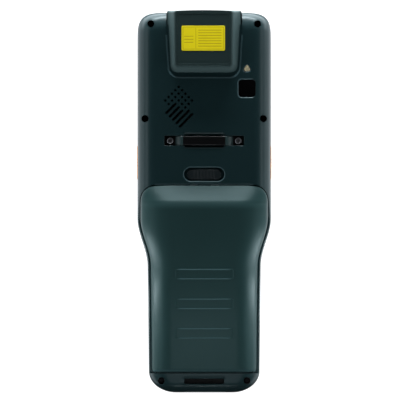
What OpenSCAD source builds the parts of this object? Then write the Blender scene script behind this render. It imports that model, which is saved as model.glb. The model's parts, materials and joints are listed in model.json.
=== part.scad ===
// Portable barcode data terminal, in millimetres. It lies on its screen with its back up:
// z = 0 is the rim round the screen, +Z points out of the back, +Y towards the scanning end.

/* [Body] */
// Half of the body's length, from its middle to the end of the scan hood
body_half_len = 100.4; // [100:0.1:101]
// Width of the body at the head
body_w = 70; // [69:0.5:71]
// Width of the body at the grip
grip_w = 59.3; // [58.5:0.1:60]
// Height of the seam between the front and the rear housing
seam_z = 9; // [8.9:0.1:9.1]
// Height of the flat back
back_z = 20.5; // [20.4:0.1:20.6]
// Radius of the long edges of the back
edge_r = 9.5; // [8:0.5:10]
// Thickness of the housing walls
wall = 2.2; // [2:0.1:2.3]

/* [Scan hood] */
// Width of the hood at the end of the body
hood_w = 39.2; // [39:0.1:40.2]
// Width of the hood at its inner end
hood_inner_w = 35.1; // [34:0.1:36]
// Height of the hood's top
hood_z = 27.5; // [27:0.1:28]
// Place of the hood's inner edge along the body
hood_start_y = 67.6; // [67:0.1:68]

/* [Battery cover] */
// Height of the cover at its hump
hump_z = 30; // [29:0.5:31]
// Height of the cover at its hinge
heel_z = 23.3; // [23.2:0.1:23.4]
// Place of the cover's latch edge along the body
cover_top_y = 8.2; // [8.1:0.1:8.3]
// Space between the cover's edge and the side of the body
cover_margin = 1.6; // [1.4:0.1:1.8]
// Thickness of the cover's wall
cover_wall = 1.8; // [1.6:0.1:2]

/* [Screen and keys] */
// Width of the display window
window_w = 60.8; // [60:0.1:61]
// Length of the display window
window_len = 97.8; // [96:0.1:98]
// Distance between the key columns
key_pitch_x = 15.5; // [15.3:0.1:15.6]
// Distance between the key rows
key_pitch_y = 11; // [10.8:0.1:11]
// Width of a key
key_w = 12.8; // [12:0.1:13]
// Length of a key
key_h = 7.6; // [7:0.1:8]
// Travel of a key
key_travel = 0.7; // [0.4:0.1:0.7]

/* [Fasteners] */
// Radius of a housing screw's thread
screw_r = 1; // [0.8:0.1:1]
// Radius of the deep holes over the housing screws
counterbore_r = 1.9; // [1.8:0.05:1.95]

/* [Hidden] */
$fn = 48;
eps = 0.01;

// Shape of the body seen from above
half_w = body_w / 2;
grip_half_w = grip_w / 2;
foot_half_w = grip_half_w - 0.65;
shoulder_y = body_half_len - 1.4;
foot_corner = [14, 11];
foot_corner_y = foot_corner.y - body_half_len;
head_corner = [17.9, 16];

// The narrowing between the head and the grip
grip_y = -34;
neck_len = 25;

// Outside of the front shell: height, and how far the outline is moved in there
front_levels = [[0, 2.2], [0.6, 1.2], [1.6, 0.4], [3, 0], [seam_z, 0]];
face_z = 3.1;
gasket_h = 0.8;

// The battery's tray, and the foot block beyond it
knuckle_r = 2.6;
hinge_y = -87.5;
hinge_z = heel_z - knuckle_r;
foot_y = hinge_y - knuckle_r - 0.3;
tray_z = 13;
tray_y = -39.5;
bay_floor_z = 10.5;
upstand = [49.2, 88.2];
block_y = cover_top_y + 0.5;
neck_ys = [-30, -26, -22, -18, -14, -9];

// The cover's round corners at the latch, and the shelf beside them that drops from the back
// to the tray
shelf_y = -12;
latch_corner_ys = [-1.3, 0.5, 3.5, 5.8, 7, 7.7, 8.05, cover_top_y];

// The rounding of the foot's end and of the head's end, seen from the side
foot_round_y = -95.5;
foot_round = [foot_round_y + body_half_len, 8.5];
head_round = [7, 6.5];
head_round_y = shoulder_y - head_round.x;

// Screws: the two at the head, the two at the neck and the two at the foot
screw_spots = [for (s = [-1, 1]) each [[s * 28, 93.2], [s * 31.1, 43.4], [s * 22.5, -94.2]]];
screw_seat_z = 13;
column_r = 3.1;

// Screen, and the boards behind it
window_y = 43.3;
window_z = 0.6;
window_thick = 1.1;
display_size = [55.6, 93];
display_z = window_z + window_thick;
frame_z = 4.2;
frame_top_z = 5.2;
board_z = 6.8;
board_top_z = board_z + 1;

// Keys, row by row from the screen down
key_top_z = 0.4;
key_foot_z = 4.15;
key_board_z = 5.3;
key_lip = 0.5;
key_well = [49, 77.6];
key_well_y = -52;
key_rows_y = [for (row = [0 : 6]) -19 - row * key_pitch_y];
key_names = [
    ["key_menu", "key_up", "key_back"],
    ["key_left", "key_scan", "key_right"],
    ["key_power", "key_down", "key_enter"],
    ["key_1", "key_2", "key_3"],
    ["key_4", "key_5", "key_6"],
    ["key_7", "key_8", "key_9"],
    ["key_point", "key_0", "key_clear"]
];

// Parts of the back
strap_y = 31.8;
strap_screw_x = 17.9;
strap_bar_z = 20;
strap_floor_z = 17.9;
strap_hw = 20.7;
strap_bar_hw = 2.4;
strap_thick = 1.2;
latch_y = 14;
latch_floor_z = 18.6;
latch_top_z = 20.4;
latch_tongues_x = [-5.5, 5.5];
tongue_z = 15.1;
tongue_hw = 2;
tongue_thick = 1.8;
latch_travel = 1.5;
camera = [22.5, 59.3];
flash = [22.5, 69.4];
window_seat_z = 19.6;
grille = [-13.4, 60.1];
grille_step = [1.76, 1.8];
hood_base_z = hood_z - 7.8;
nose_y = 93;

// Sides of the hood at its foot and at its flat top: half width at the inner end and at the
// outer end, place of the inner and of the outer end, and radius of the inner corners
hood_foot = [hood_inner_w / 2, hood_w / 2, hood_start_y, body_half_len, 3.6];
hood_top = [14.5, 14.5, hood_start_y + 3.8, body_half_len - 1.2, 1.6];
hood_lean = -0.5;
moat = [hood_foot[0] + 0.8, hood_foot[1] + 0.6, hood_start_y - 2.2, body_half_len, 5];
label_size = [22.8, 13.1];
label_spot = [hood_lean, 85.6];
label_seat_z = hood_z - 0.2;
engine_z = 13.6;
ear_x = 18;
ear_w = 3.6;
pin_r = 0.75;
slot_w = 21;
slot_h = 2.9;
slot_y = -94.55;

// Side triggers
trigger_y = 20.3;
trigger_len = 18.2;
trigger_z = 5.6;
trigger_h = 4.2;

// USB port in the foot
port_z = 6;
port_shell = [8.94, 3.26];
flap_axis = [-99.7, 3.75];
flap_hw = 7.7;

// ---- Shape functions ----

// 0 to 1 with a level start and end
function smooth(t) = let (u = min(1, max(0, t))) u * u * (3 - 2 * u);

// A straight run from a to b
function mix(a, b, t) = a + (b - a) * t;

// A list put in rising order
function sorted(list) = len(list) < 2 ? list :
    let (mid = list[floor(len(list) / 2)])
    concat(sorted([for (v = list) if (v < mid) v]), [mid],
           sorted([for (v = list) if (v > mid) v]));

// Half width of the body between its end corners
function side_x(y) = y < grip_y
    ? mix(foot_half_w, grip_half_w, (y - foot_corner_y) / (grip_y - foot_corner_y))
    : mix(grip_half_w, half_w, smooth((y - grip_y) / neck_len));

// One side of the body's outline, from the foot to the head
half_outline = concat(
    [for (a = [0 : 10 : 90]) [foot_half_w - foot_corner.x * (1 - sin(a)),
                              -body_half_len + foot_corner.y * (1 - cos(a))]],
    [for (y = concat([-62, grip_y], neck_ys, [block_y - 0.1, block_y, 60])) [side_x(y), y]],
    [for (k = [0 : 11]) let (t = 45 * (1 - cos(180 * k / 11)))
        [half_w - head_corner.x * (1 - sqrt(cos(t))),
         shoulder_y - head_corner.y * (1 - sqrt(sin(t)))]]);

// Both sides of a shape from its right half
function mirrored(half) =
    concat(half, [for (i = [len(half) - 1 : -1 : 0]) [-half[i].x, half[i].y]]);

body_outline = mirrored(half_outline);

// A closed outline moved in by d at every point
function inset(points, d) = let (n = len(points)) [for (i = [0 : n - 1])
    let (t = points[(i + 1) % n] - points[(i + n - 1) % n])
        points[i] - d * [t.y, -t.x] / norm(t)];

// Half width of the body's outline at any y, by looking along its points
function outline_x(y, i = 0) = i >= len(half_outline) - 2 || half_outline[i + 1].y >= y
    ? let (a = half_outline[i], b = half_outline[i + 1])
        mix(a.x, b.x, min(1, max(0, (y - a.y) / (b.y - a.y))))
    : outline_x(y, i + 1);

// How far a quarter circle has dropped, 0 at t = 0 and 1 at t = 1
function drop(t) = 1 - sqrt(max(0, 1 - t ^ 2));

// How far the shelf beside the cover has risen, 0 at the tray and 1 at the back
function shelf_rise(y) = smooth((y - shelf_y) / (block_y - shelf_y));

// Height of the rear housing's outside along its middle
function rear_z(y) =
    y > head_round_y ? back_z - head_round.y * drop((y - head_round_y) / head_round.x)
    : y > foot_y ? mix(tray_z, back_z, shelf_rise(y))
    : mix(heel_z - 1.3, heel_z - 0.1, (y - foot_round_y) / (foot_y - foot_round_y))
        - foot_round.y * drop(max(0, foot_round_y - y) / foot_round.x);

// Height of the battery cover's outside along its middle: a slope up from the latch edge, a
// rounded hump, a long fall to the hinge, and the round heel
function cover_z(y) = let (slope_y = 0.5, hump_y = -4.5)
    y > slope_y ? mix(hump_z - 2, hump_z - 9.1, (y - slope_y) / (cover_top_y - slope_y))
    : y > hump_y ? hump_z - 2 * ((y - hump_y) / (slope_y - hump_y)) ^ 2
    : y > hinge_y ? hump_z - (hump_z - heel_z) * ((hump_y - y) / (hump_y - hinge_y)) ^ 1.6
    : hinge_z + sqrt(knuckle_r ^ 2 - (y - hinge_y) ^ 2);

// Half width of the battery cover
function cover_x(y) = let (
    w = side_x(y) - cover_margin,
    corner = [9, 9.5],
    bend = 2.4,
    top = min(1, max(0, (y - cover_top_y) / corner.y + 1)),
    heel = max(0, (hinge_y - y) / knuckle_r))
    w - corner.x * (1 - (1 - top ^ bend) ^ (1 / bend)) - 2.4 * drop(heel);

// A cross section with rounded shoulders, w wide each way, from z0 up to z1
function arch(y, w, z0, z1, rx, rz, steps = 5) = concat(
    [[-w, y, z0]],
    [for (k = [0 : steps]) let (a = 90 * k / steps)
        [-w + rx * (1 - cos(a)), y, z1 - rz * (1 - sin(a))]],
    [for (k = [steps : -1 : 0]) let (a = 90 * k / steps)
        [w - rx * (1 - cos(a)), y, z1 - rz * (1 - sin(a))]],
    [[w, y, z0]]);

// Half width of the rounding along each side of the cover, wider at the head than at the grip
function cover_shoulder(y) = mix(8.6, 12.2, smooth((y + 45) / 35));

// One side of an outline like the hood's, from its five sizes
function hood_half(sizes) = let (
    x0 = sizes[0],
    x1 = sizes[1],
    y0 = sizes[2],
    y1 = sizes[3],
    r = sizes[4])
    concat(
        [for (a = [0 : 18 : 90]) [x0 - r * (1 - sin(a)), y0 + r * (1 - cos(a))]],
        [[mix(x0, x1, 0.5), mix(y0, y1, 0.5)], [x1, y1 - 1.4], [x1 - 0.6, y1 - 0.65],
         [x1 * 0.7, y1 - 0.3], [x1 * 0.35, y1 - 0.07], [x1 * 0.1, y1]]);

// The hood's outline a share t of the way from its foot to its top
function hood_ring(t) =
    [for (p = mirrored(hood_half(mix(hood_foot, hood_top, t)))) [p.x + hood_lean * t, p.y]];

// Outline points lifted to a height
function lifted(points, z) = [for (p = points) [p.x, p.y, z]];

// ---- Shape modules ----

// A skin over rings of equal length. Each ring runs anticlockwise about the direction in
// which the rings follow each other, and its point i lies across from its point n - 1 - i.
module skin(rings) {
    n = len(rings[0]);
    last = (len(rings) - 1) * n;
    polyhedron(
        points = [for (ring = rings) each ring],
        faces = concat(
            [for (i = [0 : n / 2 - 2]) each [[i, i + 1, n - 2 - i], [i, n - 2 - i, n - 1 - i]]],
            [for (k = [0 : n : last - n]) for (i = [0 : n - 1]) let (j = (i + 1) % n) each
                [[k + i, k + n + i, k + n + j], [k + i, k + n + j, k + j]]],
            [for (i = [0 : n / 2 - 2]) each [[last + i, last + n - 2 - i, last + i + 1],
                [last + i, last + n - 1 - i, last + n - 2 - i]]]),
        convexity = 6);
}

// A box from one corner to the opposite one
module span(low, high) {
    translate(low) cube(high - low);
}

// A box on z0 with rounded upright edges, centred on x and y
module rounded_box(size, r, z0) {
    translate([0, 0, z0]) linear_extrude(size.z) rounded_rect(size.x, size.y, r);
}

// A rectangle with rounded corners
module rounded_rect(w, h, r) {
    square([w - 2 * r, h], center = true);
    square([w, h - 2 * r], center = true);
    for (x = [-1, 1], y = [-1, 1])
        translate([x * (w / 2 - r), y * (h / 2 - r)]) circle(r);
}

// A long slot with round ends
module stadium(len, w) {
    square([len - w, w], center = true);
    for (s = [-1, 1]) translate([s * (len - w) / 2, 0]) circle(w / 2);
}

// A cylinder along X
module rod_x(r, x0, x1) {
    translate([x0, 0, 0]) rotate([0, 90, 0]) cylinder(h = x1 - x0, r = r);
}

// A flat ring between two insets of the body's outline
module outline_ring(outer, inner, z0, z1) {
    translate([0, 0, z0]) linear_extrude(z1 - z0) difference() {
        polygon(inset(body_outline, outer));
        polygon(inset(body_outline, inner));
    }
}

// Copies at each housing screw
module at_screws() {
    for (p = screw_spots) translate(p) children();
}

// ---- Housings ----

// Front shell: rim, window seat, keypad well and side walls
module front_housing() {
    color("#262d31") difference() {
        union() {
            difference() {
                skin([for (level = front_levels)
                    lifted(inset(body_outline, level[1]), level[0])]);
                translate([0, 0, face_z]) linear_extrude(seam_z)
                    polygon(inset(body_outline, wall));
            }
            at_screws() translate([0, 0, face_z - eps])
                cylinder(h = seam_z - face_z + eps, r = 2.4);
            // Posts that carry the keypad board
            for (x = [-23.9, 23.9], y = [-24.5, -57.5, -79.5]) translate([x, y, face_z - eps])
                cylinder(h = key_board_z - face_z + eps, r = 1);
        }
        // Gasket groove
        outline_ring(0.8, 1.6, seam_z - gasket_h, seam_z + 1);
        // Window seat, and the opening for the display behind it
        translate([0, window_y, 0]) {
            rounded_box([window_w + 0.4, window_len + 0.4, window_z + 2.1], 4.2, -1);
            rounded_box([display_size.x + 0.6, display_size.y + 0.6, 4], 1, 0);
        }
        // Keypad well
        translate([0, key_well_y, 0]) rounded_box([key_well.x, key_well.y, 2.6], 4, -1);
        for (y = key_rows_y, col = [-1 : 1]) translate([col * key_pitch_x, y, 0])
            rounded_box([key_w + 0.5, key_h + 0.5, 4], 2.25, 0);
        at_screws() translate([0, 0, 4]) cylinder(h = 6, r = screw_r + 0.05);
        // Earpiece slot and microphone hole
        translate([0, 94.6, -1]) linear_extrude(5) stadium(12, 1.3);
        translate([12, -94.5, -1]) cylinder(h = 5, r = 0.6);
        // Side openings for the triggers
        for (s = [-1, 1]) translate([s * half_w, trigger_y, trigger_z])
            cube([8, trigger_len + 0.6, trigger_h + 0.6], center = true);
        // Recess of the port cover, its pivot sockets, and the plug opening
        span([-flap_hw - 0.3, -body_half_len - 1, 3], [flap_hw + 0.3, -99, 8.4]);
        translate([0, flap_axis.x, flap_axis.y]) rod_x(0.45, -9, 9);
        translate([0, -98, port_z]) rotate([90, 0, 0]) linear_extrude(6, center = true)
            stadium(port_shell.x + 0.36, port_shell.y + 0.34);
    }
}

// Rear shell: head, battery tray and foot block
module rear_housing() {
    color("#1e2a2e") difference() {
        union() {
            difference() {
                rear_body();
                head_cavity();
                cover_pocket();
                bay(9);
            }
            // Upstand round the battery bay
            difference() {
                translate([0, tray_y, 0]) rounded_box([upstand.x, upstand.y, 3.7], 3, 11.3);
                bay(9);
            }
            // Screw columns, taller in the head
            at_screws() translate([0, 0, seam_z]) cylinder(h = 5, r = column_r);
            for (p = screw_spots) if (p.y > 0) intersection() {
                translate([p.x, p.y, seam_z]) cylinder(h = 11, r = column_r);
                span([-40, 0, seam_z], [40, 95, 17]);
            }
            // Thick places under the latch and the strap channel
            span([-13, block_y + 0.5, 17.3], [13, 19.5, 19]);
            span([-22.5, strap_y - 5.8, 14.8], [22.5, strap_y + 5.8, 19]);
            hinge_ears();
        }
        // Deep holes over the screws
        at_screws() {
            translate([0, 0, screw_seat_z]) cylinder(h = 20, r = counterbore_r);
            translate([0, 0, seam_z - 1]) cylinder(h = 10, r = screw_r + 0.15);
        }
        for (s = [-1, 1]) translate([s * ear_x, hinge_y, hinge_z])
            rod_x(pin_r + 0.01, -ear_w, ear_w);
        hood_seat();
        camera_and_flash_openings();
        grille_openings();
        strap_channel();
        latch_openings();
        strap_tunnel();
        // Openings for the battery connector and the card reader
        span([-7, -2.1, seam_z - 1], [7, 2.9, 12]);
        span([-20.4, -24.4, seam_z - 1], [-3.6, -8.6, 12]);
        at_contacts() translate([0, -98, 11]) rotate([90, 0, 0])
            cylinder(h = 6, r = 0.85, center = true);
    }
}

// Outside of the rear shell as one solid, from cross sections along the body
module rear_body() {
    ys = concat(
        [for (p = half_outline) if (p.y < -91 && p.y > -body_half_len - 1) p.y],
        [-93.5, foot_y, foot_y + eps, foot_corner_y, -62, grip_y], neck_ys,
        [shelf_y, -6, -3, 0, 3, 6, block_y, 60, 83, 89],
        [for (a = [0 : 15 : 75]) head_round_y + head_round.x * sin(a)], [shoulder_y - 0.05]);
    skin([for (y = sorted(ys)) let (
        z = rear_z(y),
        x = outline_x(y),
        r = y > foot_y ? mix(1, edge_r, shelf_rise(y)) : edge_r)
        arch(y, x, seam_z, z, min(r, x * 0.5), min(r, z - seam_z - 1.8))]);
}

// Space for the battery cover: its outline, 0.5 mm larger, down to the tray
module cover_pocket() {
    half = [for (y = concat([shelf_y - 1, -9, -4.5], latch_corner_ys)) [cover_x(y), y]];
    translate([0, 0, tray_z]) linear_extrude(20) polygon(inset(mirrored(half), -0.5));
}

// Hollow of the head, in three steps that follow its rounded edges
module head_cavity() {
    start_y = block_y + 2;
    intersection() {
        translate([0, 0, seam_z - 1]) linear_extrude(5) polygon(inset(body_outline, wall));
        span([-40, start_y, 0], [40, 110, 30]);
    }
    span([-31, start_y, 13], [31, 92.5, 16]);
    span([-27.8, start_y, 15.9], [27.8, 91, back_z - 2]);
}

// Battery bay in the tray
module bay(h) {
    translate([0, tray_y, 0]) rounded_box([46, 85, h], 2, bay_floor_z);
}

// Ears that hold the cover's hinge pins
module hinge_ears() {
    for (s = [-1, 1]) translate([s * ear_x, hinge_y, 0]) {
        span([-ear_w / 2, -0.8, tray_z - 0.5], [ear_w / 2, 1.5, hinge_z]);
        translate([0, 0, hinge_z]) rod_x(1.5, -ear_w / 2, ear_w / 2);
    }
}

// Moat, nose notch and engine opening for the hood
module hood_seat() {
    translate([0, 0, hood_base_z]) linear_extrude(12)
        polygon(mirrored(hood_half(moat)));
    span([-hood_w / 2 - 0.3, nose_y - 0.3, seam_z - 1], [hood_w / 2 + 0.3, 110, 40]);
    span([-13.5, 72, 12.9], [13.5, nose_y, 24]);
}

// Square pocket and light hole of the camera, and the flash's pocket
module camera_and_flash_openings() {
    translate(camera) {
        rounded_box([8.8, 9, 3], 1.6, window_seat_z);
        rounded_box([7.2, 7.2, 6], 1, 16);
    }
    translate(flash) {
        translate([0, 0, 18.8]) linear_extrude(4) flash_shape(0.1);
        translate([0, 0, 16]) cylinder(h = 6, r = 1);
    }
}

// Rounded triangle of the flash lens, made larger by d
module flash_shape(d) {
    polygon([for (a = [0 : 12 : 348]) let (r = 1.72 + 0.24 * cos(3 * (a - 90)) + d)
        [r * cos(a), 1.05 * r * sin(a)]]);
}

// Place of a grille opening, a steps down to the right and b steps down to the left
function grille_spot(a, b) =
    [grille.x + grille_step.x * (a - b), grille.y - grille_step.y * (a + b)];

// Round and long openings over the speaker
module grille_openings() {
    dots = concat(
        [for (a = [0 : 4], b = [0 : 4]) if (a + b <= 4) [a, b]], [[4, 1], [3, 2], [1, 4], [4, 2]]);
    slots = [[2, 3], [3, 3], [4, 3], [5, 2], [6, 2]];
    slot_end = 5.6;
    dot_r = 0.55;
    translate([0, 0, 16]) {
        for (ab = dots) translate(grille_spot(ab[0], ab[1])) cylinder(h = 6, r = dot_r);
        for (ab = slots) {
            from = grille_spot(ab[0], ab[1]);
            to = grille_spot(ab[0], slot_end);
            run = to - from;
            translate((from + to) / 2) rotate(atan2(run.y, run.x))
                linear_extrude(6) stadium(norm(run) + 2 * dot_r, 2 * dot_r);
        }
    }
}

// Channel that the strap bracket lies in, and the scoop under its bar
module strap_channel() {
    scoop_x = 10.4;
    scoop_side = [[3.3, 16.6], [3.3, back_z - 0.8], [5, back_z], [5, 24]];
    span([-strap_hw - 0.2, strap_y - 2.6, strap_floor_z], [strap_hw + 0.2, strap_y + 2.6, 24]);
    translate([scoop_x, strap_y, 0]) rotate([90, 0, -90]) linear_extrude(2 * scoop_x)
        polygon(mirrored(scoop_side));
    for (s = [-1, 1]) translate([s * strap_screw_x, strap_y, 15.2])
        cylinder(h = 5, r = screw_r + 0.02);
}

// Recess of the slider, its slot, and the slots of the two tongues
module latch_openings() {
    translate([0, latch_y, latch_floor_z]) linear_extrude(5) stadium(21.4, 8.1);
    span([-5.9, latch_y - 1.5, 16], [5.9, latch_y + 1.5, 19]);
    for (x = latch_tongues_x)
        span([x - tongue_hw - 1.85, block_y - 1, tongue_z - 0.3],
             [x + tongue_hw + 1.85, block_y + 3, tongue_z + tongue_thick + 0.3]);
}

// Strap slot in the foot: down from the back and out at the end, round a solid bar
module strap_tunnel() {
    floor_z = 13.6;
    span([-slot_w / 2, slot_y - slot_h / 2, floor_z], [slot_w / 2, slot_y + slot_h / 2, 30]);
    span([-slot_w / 2, -110, floor_z], [slot_w / 2, slot_y, 16.4]);
}

// The six contacts' places across the foot
module at_contacts() {
    for (k = [-2.5 : 2.5]) translate([k * 3, 0, 0]) children();
}

// Rubber ring in the seam
module shell_gasket() {
    color("#15181a") outline_ring(0.9, 1.5, seam_z - gasket_h, seam_z);
}

// ---- Scan hood ----

module scan_hood() {
    levels = [[hood_base_z, 0], [hood_z - 1.5, 0.72], [hood_z - 0.7, 0.82],
              [hood_z - 0.2, 0.92], [hood_z, 1]];
    inside_y = 98.2;
    color("#202b30") difference() {
        union() {
            skin([for (level = levels) lifted(hood_ring(level[1]), level[0])]);
            // Nose that reaches down to the seam
            intersection() {
                translate([0, 0, seam_z + 0.3]) linear_extrude(hood_z - 7 - seam_z)
                    polygon(hood_ring(0));
                span([-30, nose_y, 0], [30, 110, 30]);
            }
        }
        // Inside, open below and towards the head's hollow
        span([-13.2, 72.2, 15], [12.6, 95.8, hood_z - 1.8]);
        span([-17.6, 90, seam_z + 2.3], [17.6, inside_y, 20.8]);
        // Opening and seat of the scan window
        span([-14.5, 95, 12.6], [14.5, 110, 20.8]);
        span([-15.7, 95, 11.8], [15.7, inside_y + 1, 21.6]);
        // Shallow seat of the label
        translate([hood_lean, 85.3, 0]) rounded_box([27.4, 26.2, 2], 1.2, label_seat_z);
    }
}

module scan_window() {
    color("#4a1416") span([-15.5, 98.3, 12], [15.5, 99.15, 21.4]);
}

module hood_label() {
    color("#e8c514") translate(label_spot)
        rounded_box([label_size.x, label_size.y, 0.15], 0.8, label_seat_z);
}

// ---- Windows of the back ----

module camera_window() {
    color("#050608") translate(camera) rounded_box([8.6, 8.8, 0.7], 1.5, window_seat_z);
}

module flash_lens() {
    color("#d8d0b0") translate([flash.x, flash.y, 18.8]) linear_extrude(1.6) flash_shape(0);
}

// ---- Strap bracket ----

// Bent strip: flat ends screwed down in the channel, and a raised bar between them
module strap_bracket() {
    ramp = [14.8, 10.6];
    top = strap_bar_z + strap_thick;
    pad = strap_floor_z + strap_thick;
    half = [[strap_hw, strap_floor_z], [ramp[0], strap_floor_z], [ramp[1], strap_bar_z]];
    half_top = [[ramp[1] + 0.3, top], [ramp[0] + 0.3, pad], [strap_hw, pad]];
    color("#0c0e10") difference() {
        translate([0, strap_y + strap_bar_hw, 0]) rotate([90, 0, 0])
            linear_extrude(2 * strap_bar_hw) polygon(concat(
                [for (p = half) [-p.x, p.y]], [for (i = [2 : -1 : 0]) half[i]],
                [for (i = [2 : -1 : 0]) half_top[i]], [for (p = half_top) [-p.x, p.y]]));
        for (s = [-1, 1]) translate([s * strap_screw_x, strap_y, 17])
            cylinder(h = 4, r = screw_r + 0.1);
    }
}

module strap_screws() {
    color("#8d9396") for (s = [-1, 1])
        translate([s * strap_screw_x, strap_y, 0]) screw(strap_floor_z + strap_thick, 3.6, 1);
}

module housing_screws() {
    color("#5c6165") at_screws() screw(screw_seat_z, 8.6, 1.4);
}

// Screw with its head's underside at z, a shank of the given length, and a driver recess
module screw(z, shank, head) {
    translate([0, 0, z]) difference() {
        union() {
            cylinder(h = head, r = 1.7);
            translate([0, 0, -shank]) cylinder(h = shank + eps, r = screw_r);
        }
        for (a = [0, 90]) rotate(a) translate([-1, -0.25, head - 0.6]) cube([2, 0.5, 1]);
    }
}

// ---- Battery cover ----

// Domed cover with its latch edge at the head and hinge knuckles at the foot
module battery_cover() {
    ys = concat([for (a = [78, 60, 38, 18]) hinge_y - knuckle_r * sin(a)],
        [hinge_y, -80, -70, -58, -46, grip_y], neck_ys, [-4.5, -3], latch_corner_ys);
    foot_z = tray_z + 1.8;
    color("#26363a") difference() {
        union() {
            difference() {
                skin([for (y = ys) let (z = cover_z(y))
                    arch(y, cover_x(y), tray_z + (y < -70 ? 0.7 : 0.3), z, cover_shoulder(y),
                        min(11, z - foot_z), 6)]);
                // Inside, open below
                skin([for (y = concat([hinge_y + 2.6], [for (v = ys) if (v > -82 && v < 5.9) v],
                        [cover_top_y - cover_wall])) let (z = cover_z(y) - cover_wall)
                    arch(y, min(cover_x(y), cover_x(-1)) - cover_wall, tray_z - 1, z,
                        cover_shoulder(y) - 1, min(9.6, z - foot_z), 4)]);
                span([-25.6, hinge_y - 5, tray_z - 1], [25.6, hinge_y + 5, hinge_z - 2.1]);
            }
            // Round underside of the heel, which turns about the hinge
            translate([0, hinge_y, hinge_z]) rod_x(knuckle_r - 0.3, -19, 19);
        }
        // Room for the ears and the pins
        for (s = [-1, 1]) translate([s * ear_x, hinge_y, hinge_z]) {
            rod_x(pin_r + 0.05, -4.2, 4.2);
            rod_x(1.8, -ear_w / 2 - 0.3, ear_w / 2 + 0.3);
            span([-ear_w / 2 - 0.3, -4, -9], [ear_w / 2 + 0.3, 5, -0.3]);
        }
        // Notches that let the tongues go by, and the pockets over the catches beside them
        for (x = latch_tongues_x) {
            right_x = x + tongue_hw + 0.4;
            top_z = tongue_z + tongue_thick + 0.5;
            span([x - tongue_hw - latch_travel - 0.4, 4, tray_z - 1],
                 [right_x, cover_top_y + 1, top_z]);
            span([x, 4, tongue_z - 0.4], [right_x + latch_travel, cover_top_y + 1, top_z]);
        }
    }
}

module cover_hinge_pins() {
    color("#9aa0a4") for (s = [-1, 1]) translate([s * ear_x, hinge_y, hinge_z])
        rod_x(pin_r, -4, 4);
}

// Rubber ring round the bay's upstand
module cover_seal() {
    color("#2b2f31") translate([0, tray_y, tray_z]) linear_extrude(0.9) difference() {
        rounded_rect(upstand.x + 1.4, upstand.y + 1.4, 3.6);
        rounded_rect(upstand.x + 0.2, upstand.y + 0.2, 3);
    }
}

// ---- Battery latch ----

// Slider with its ridged grip and the neck through the slot
module battery_latch() {
    grip_z = latch_floor_z + 0.25;
    color("#171d20") translate([0, latch_y, 0]) {
        difference() {
            translate([0, 0, grip_z]) linear_extrude(latch_top_z - grip_z) stadium(17.9, 5.2);
            for (k = [-3 : 3]) translate([k * 1.7, 0, latch_top_z]) rotate([90, 0, 0])
                cylinder(h = 3.4, r = 0.35, center = true);
        }
        span([-4, -1.2, tongue_z + tongue_thick], [4, 1.2, grip_z + eps]);
    }
}

// Plate behind the slider, with the two tongues that lock the cover
module latch_plate() {
    top_z = tongue_z + tongue_thick;
    color("#8d9396") {
        span([-8.5, latch_y - 2.6, tongue_z], [8.5, latch_y + 2.6, top_z]);
        for (x = latch_tongues_x)
            span([x - tongue_hw, 6.7, tongue_z], [x + tongue_hw, latch_y - 2, top_z]);
    }
}

// ---- Battery ----

module battery_pack() {
    color("#3a4146") translate([0, -40.6, 0])
        rounded_box([43.6, 76.8, 10.2], 3, bay_floor_z + 0.3);
}

// Spring contact block at the head end of the bay
module battery_connector() {
    front_y = -1.7;
    color("#111315") span([-6.6, front_y, board_top_z], [6.6, 2.5, 16]);
    color("#c9a54a") for (k = [-1.5 : 1.5])
        span([k * 3 - 0.6, front_y - 0.3, 12], [k * 3 + 0.6, front_y + eps, 14.5]);
}

// ---- Side triggers ----

// Button with a lip that keeps it behind the wall. s is -1 on the left and 1 on the right
module trigger(s) {
    color("#e0762a") translate([s * half_w, trigger_y, trigger_z]) {
        translate([-s * 1.35, 0, 0]) rotate([0, 90, 0])
            linear_extrude(3.5, center = true) rounded_rect(trigger_h, trigger_len, 2);
        translate([-s * 3, 0, 0])
            cube([0.8, trigger_len + 2, trigger_h + 0.4], center = true);
    }
}

module trigger_left() {
    trigger(-1);
}

module trigger_right() {
    trigger(1);
}

module trigger_switches() {
    color("#d8d8d4") for (s = [-1, 1]) translate([s * 29, trigger_y, trigger_z])
        cube([2, 6, 2.8], center = true);
}

// ---- Screen side ----

module display_window() {
    color("#0a0c0e") translate([0, window_y, 0])
        rounded_box([window_w, window_len, window_thick], 4, window_z);
}

module display_module() {
    color("#2a3034") translate([0, window_y, 0])
        rounded_box([display_size.x, display_size.y, frame_z - display_z], 0.8, display_z);
}

// Cast frame behind the display, with the posts that carry the main board
module mid_frame() {
    color("#9aa0a4") {
        span([-28, -6, frame_z], [28, 90, frame_top_z]);
        for (x = [-24.5, 24.5], y = [-3, 52, 86]) translate([x, y, frame_top_z - eps])
            cylinder(h = board_z - frame_top_z + eps, r = 1.6);
    }
}

module keypad_board() {
    color("#1d5a3a") span([-24.8, -90.5, key_board_z], [24.8, -13, key_board_z + 1.1]);
}

// Sheet with a metal dome under each key
module dome_sheet() {
    dome_z = key_foot_z + key_travel + 0.1;
    color("#c8ccd0") {
        span([-22.6, -89.5, key_board_z - 0.2], [22.6, -14, key_board_z]);
        for (y = key_rows_y, col = [-1 : 1]) translate([col * key_pitch_x, y, dome_z])
            cylinder(h = key_board_z - 0.19 - dome_z, r = 2.2);
    }
}

// Key number col, from -1 to 1, of a row: cap, lip and plunger
module key(row, col) {
    fill = row == 1 && col == 0 ? "#e0762a" : "#32393d";
    lip_z = face_z + 0.2;
    lip_h = 0.6;
    color(fill) translate([col * key_pitch_x, key_rows_y[row], 0]) {
        rounded_box([key_w, key_h, lip_z - key_top_z + 0.1], 2, key_top_z);
        rounded_box([key_w + 2 * key_lip, key_h + 2 * key_lip, lip_h], 2.4, lip_z);
        translate([0, 0, lip_z + lip_h - eps])
            cylinder(h = key_foot_z - lip_z - lip_h + eps, r = 1.2);
    }
}

// ---- Electronics ----

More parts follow.
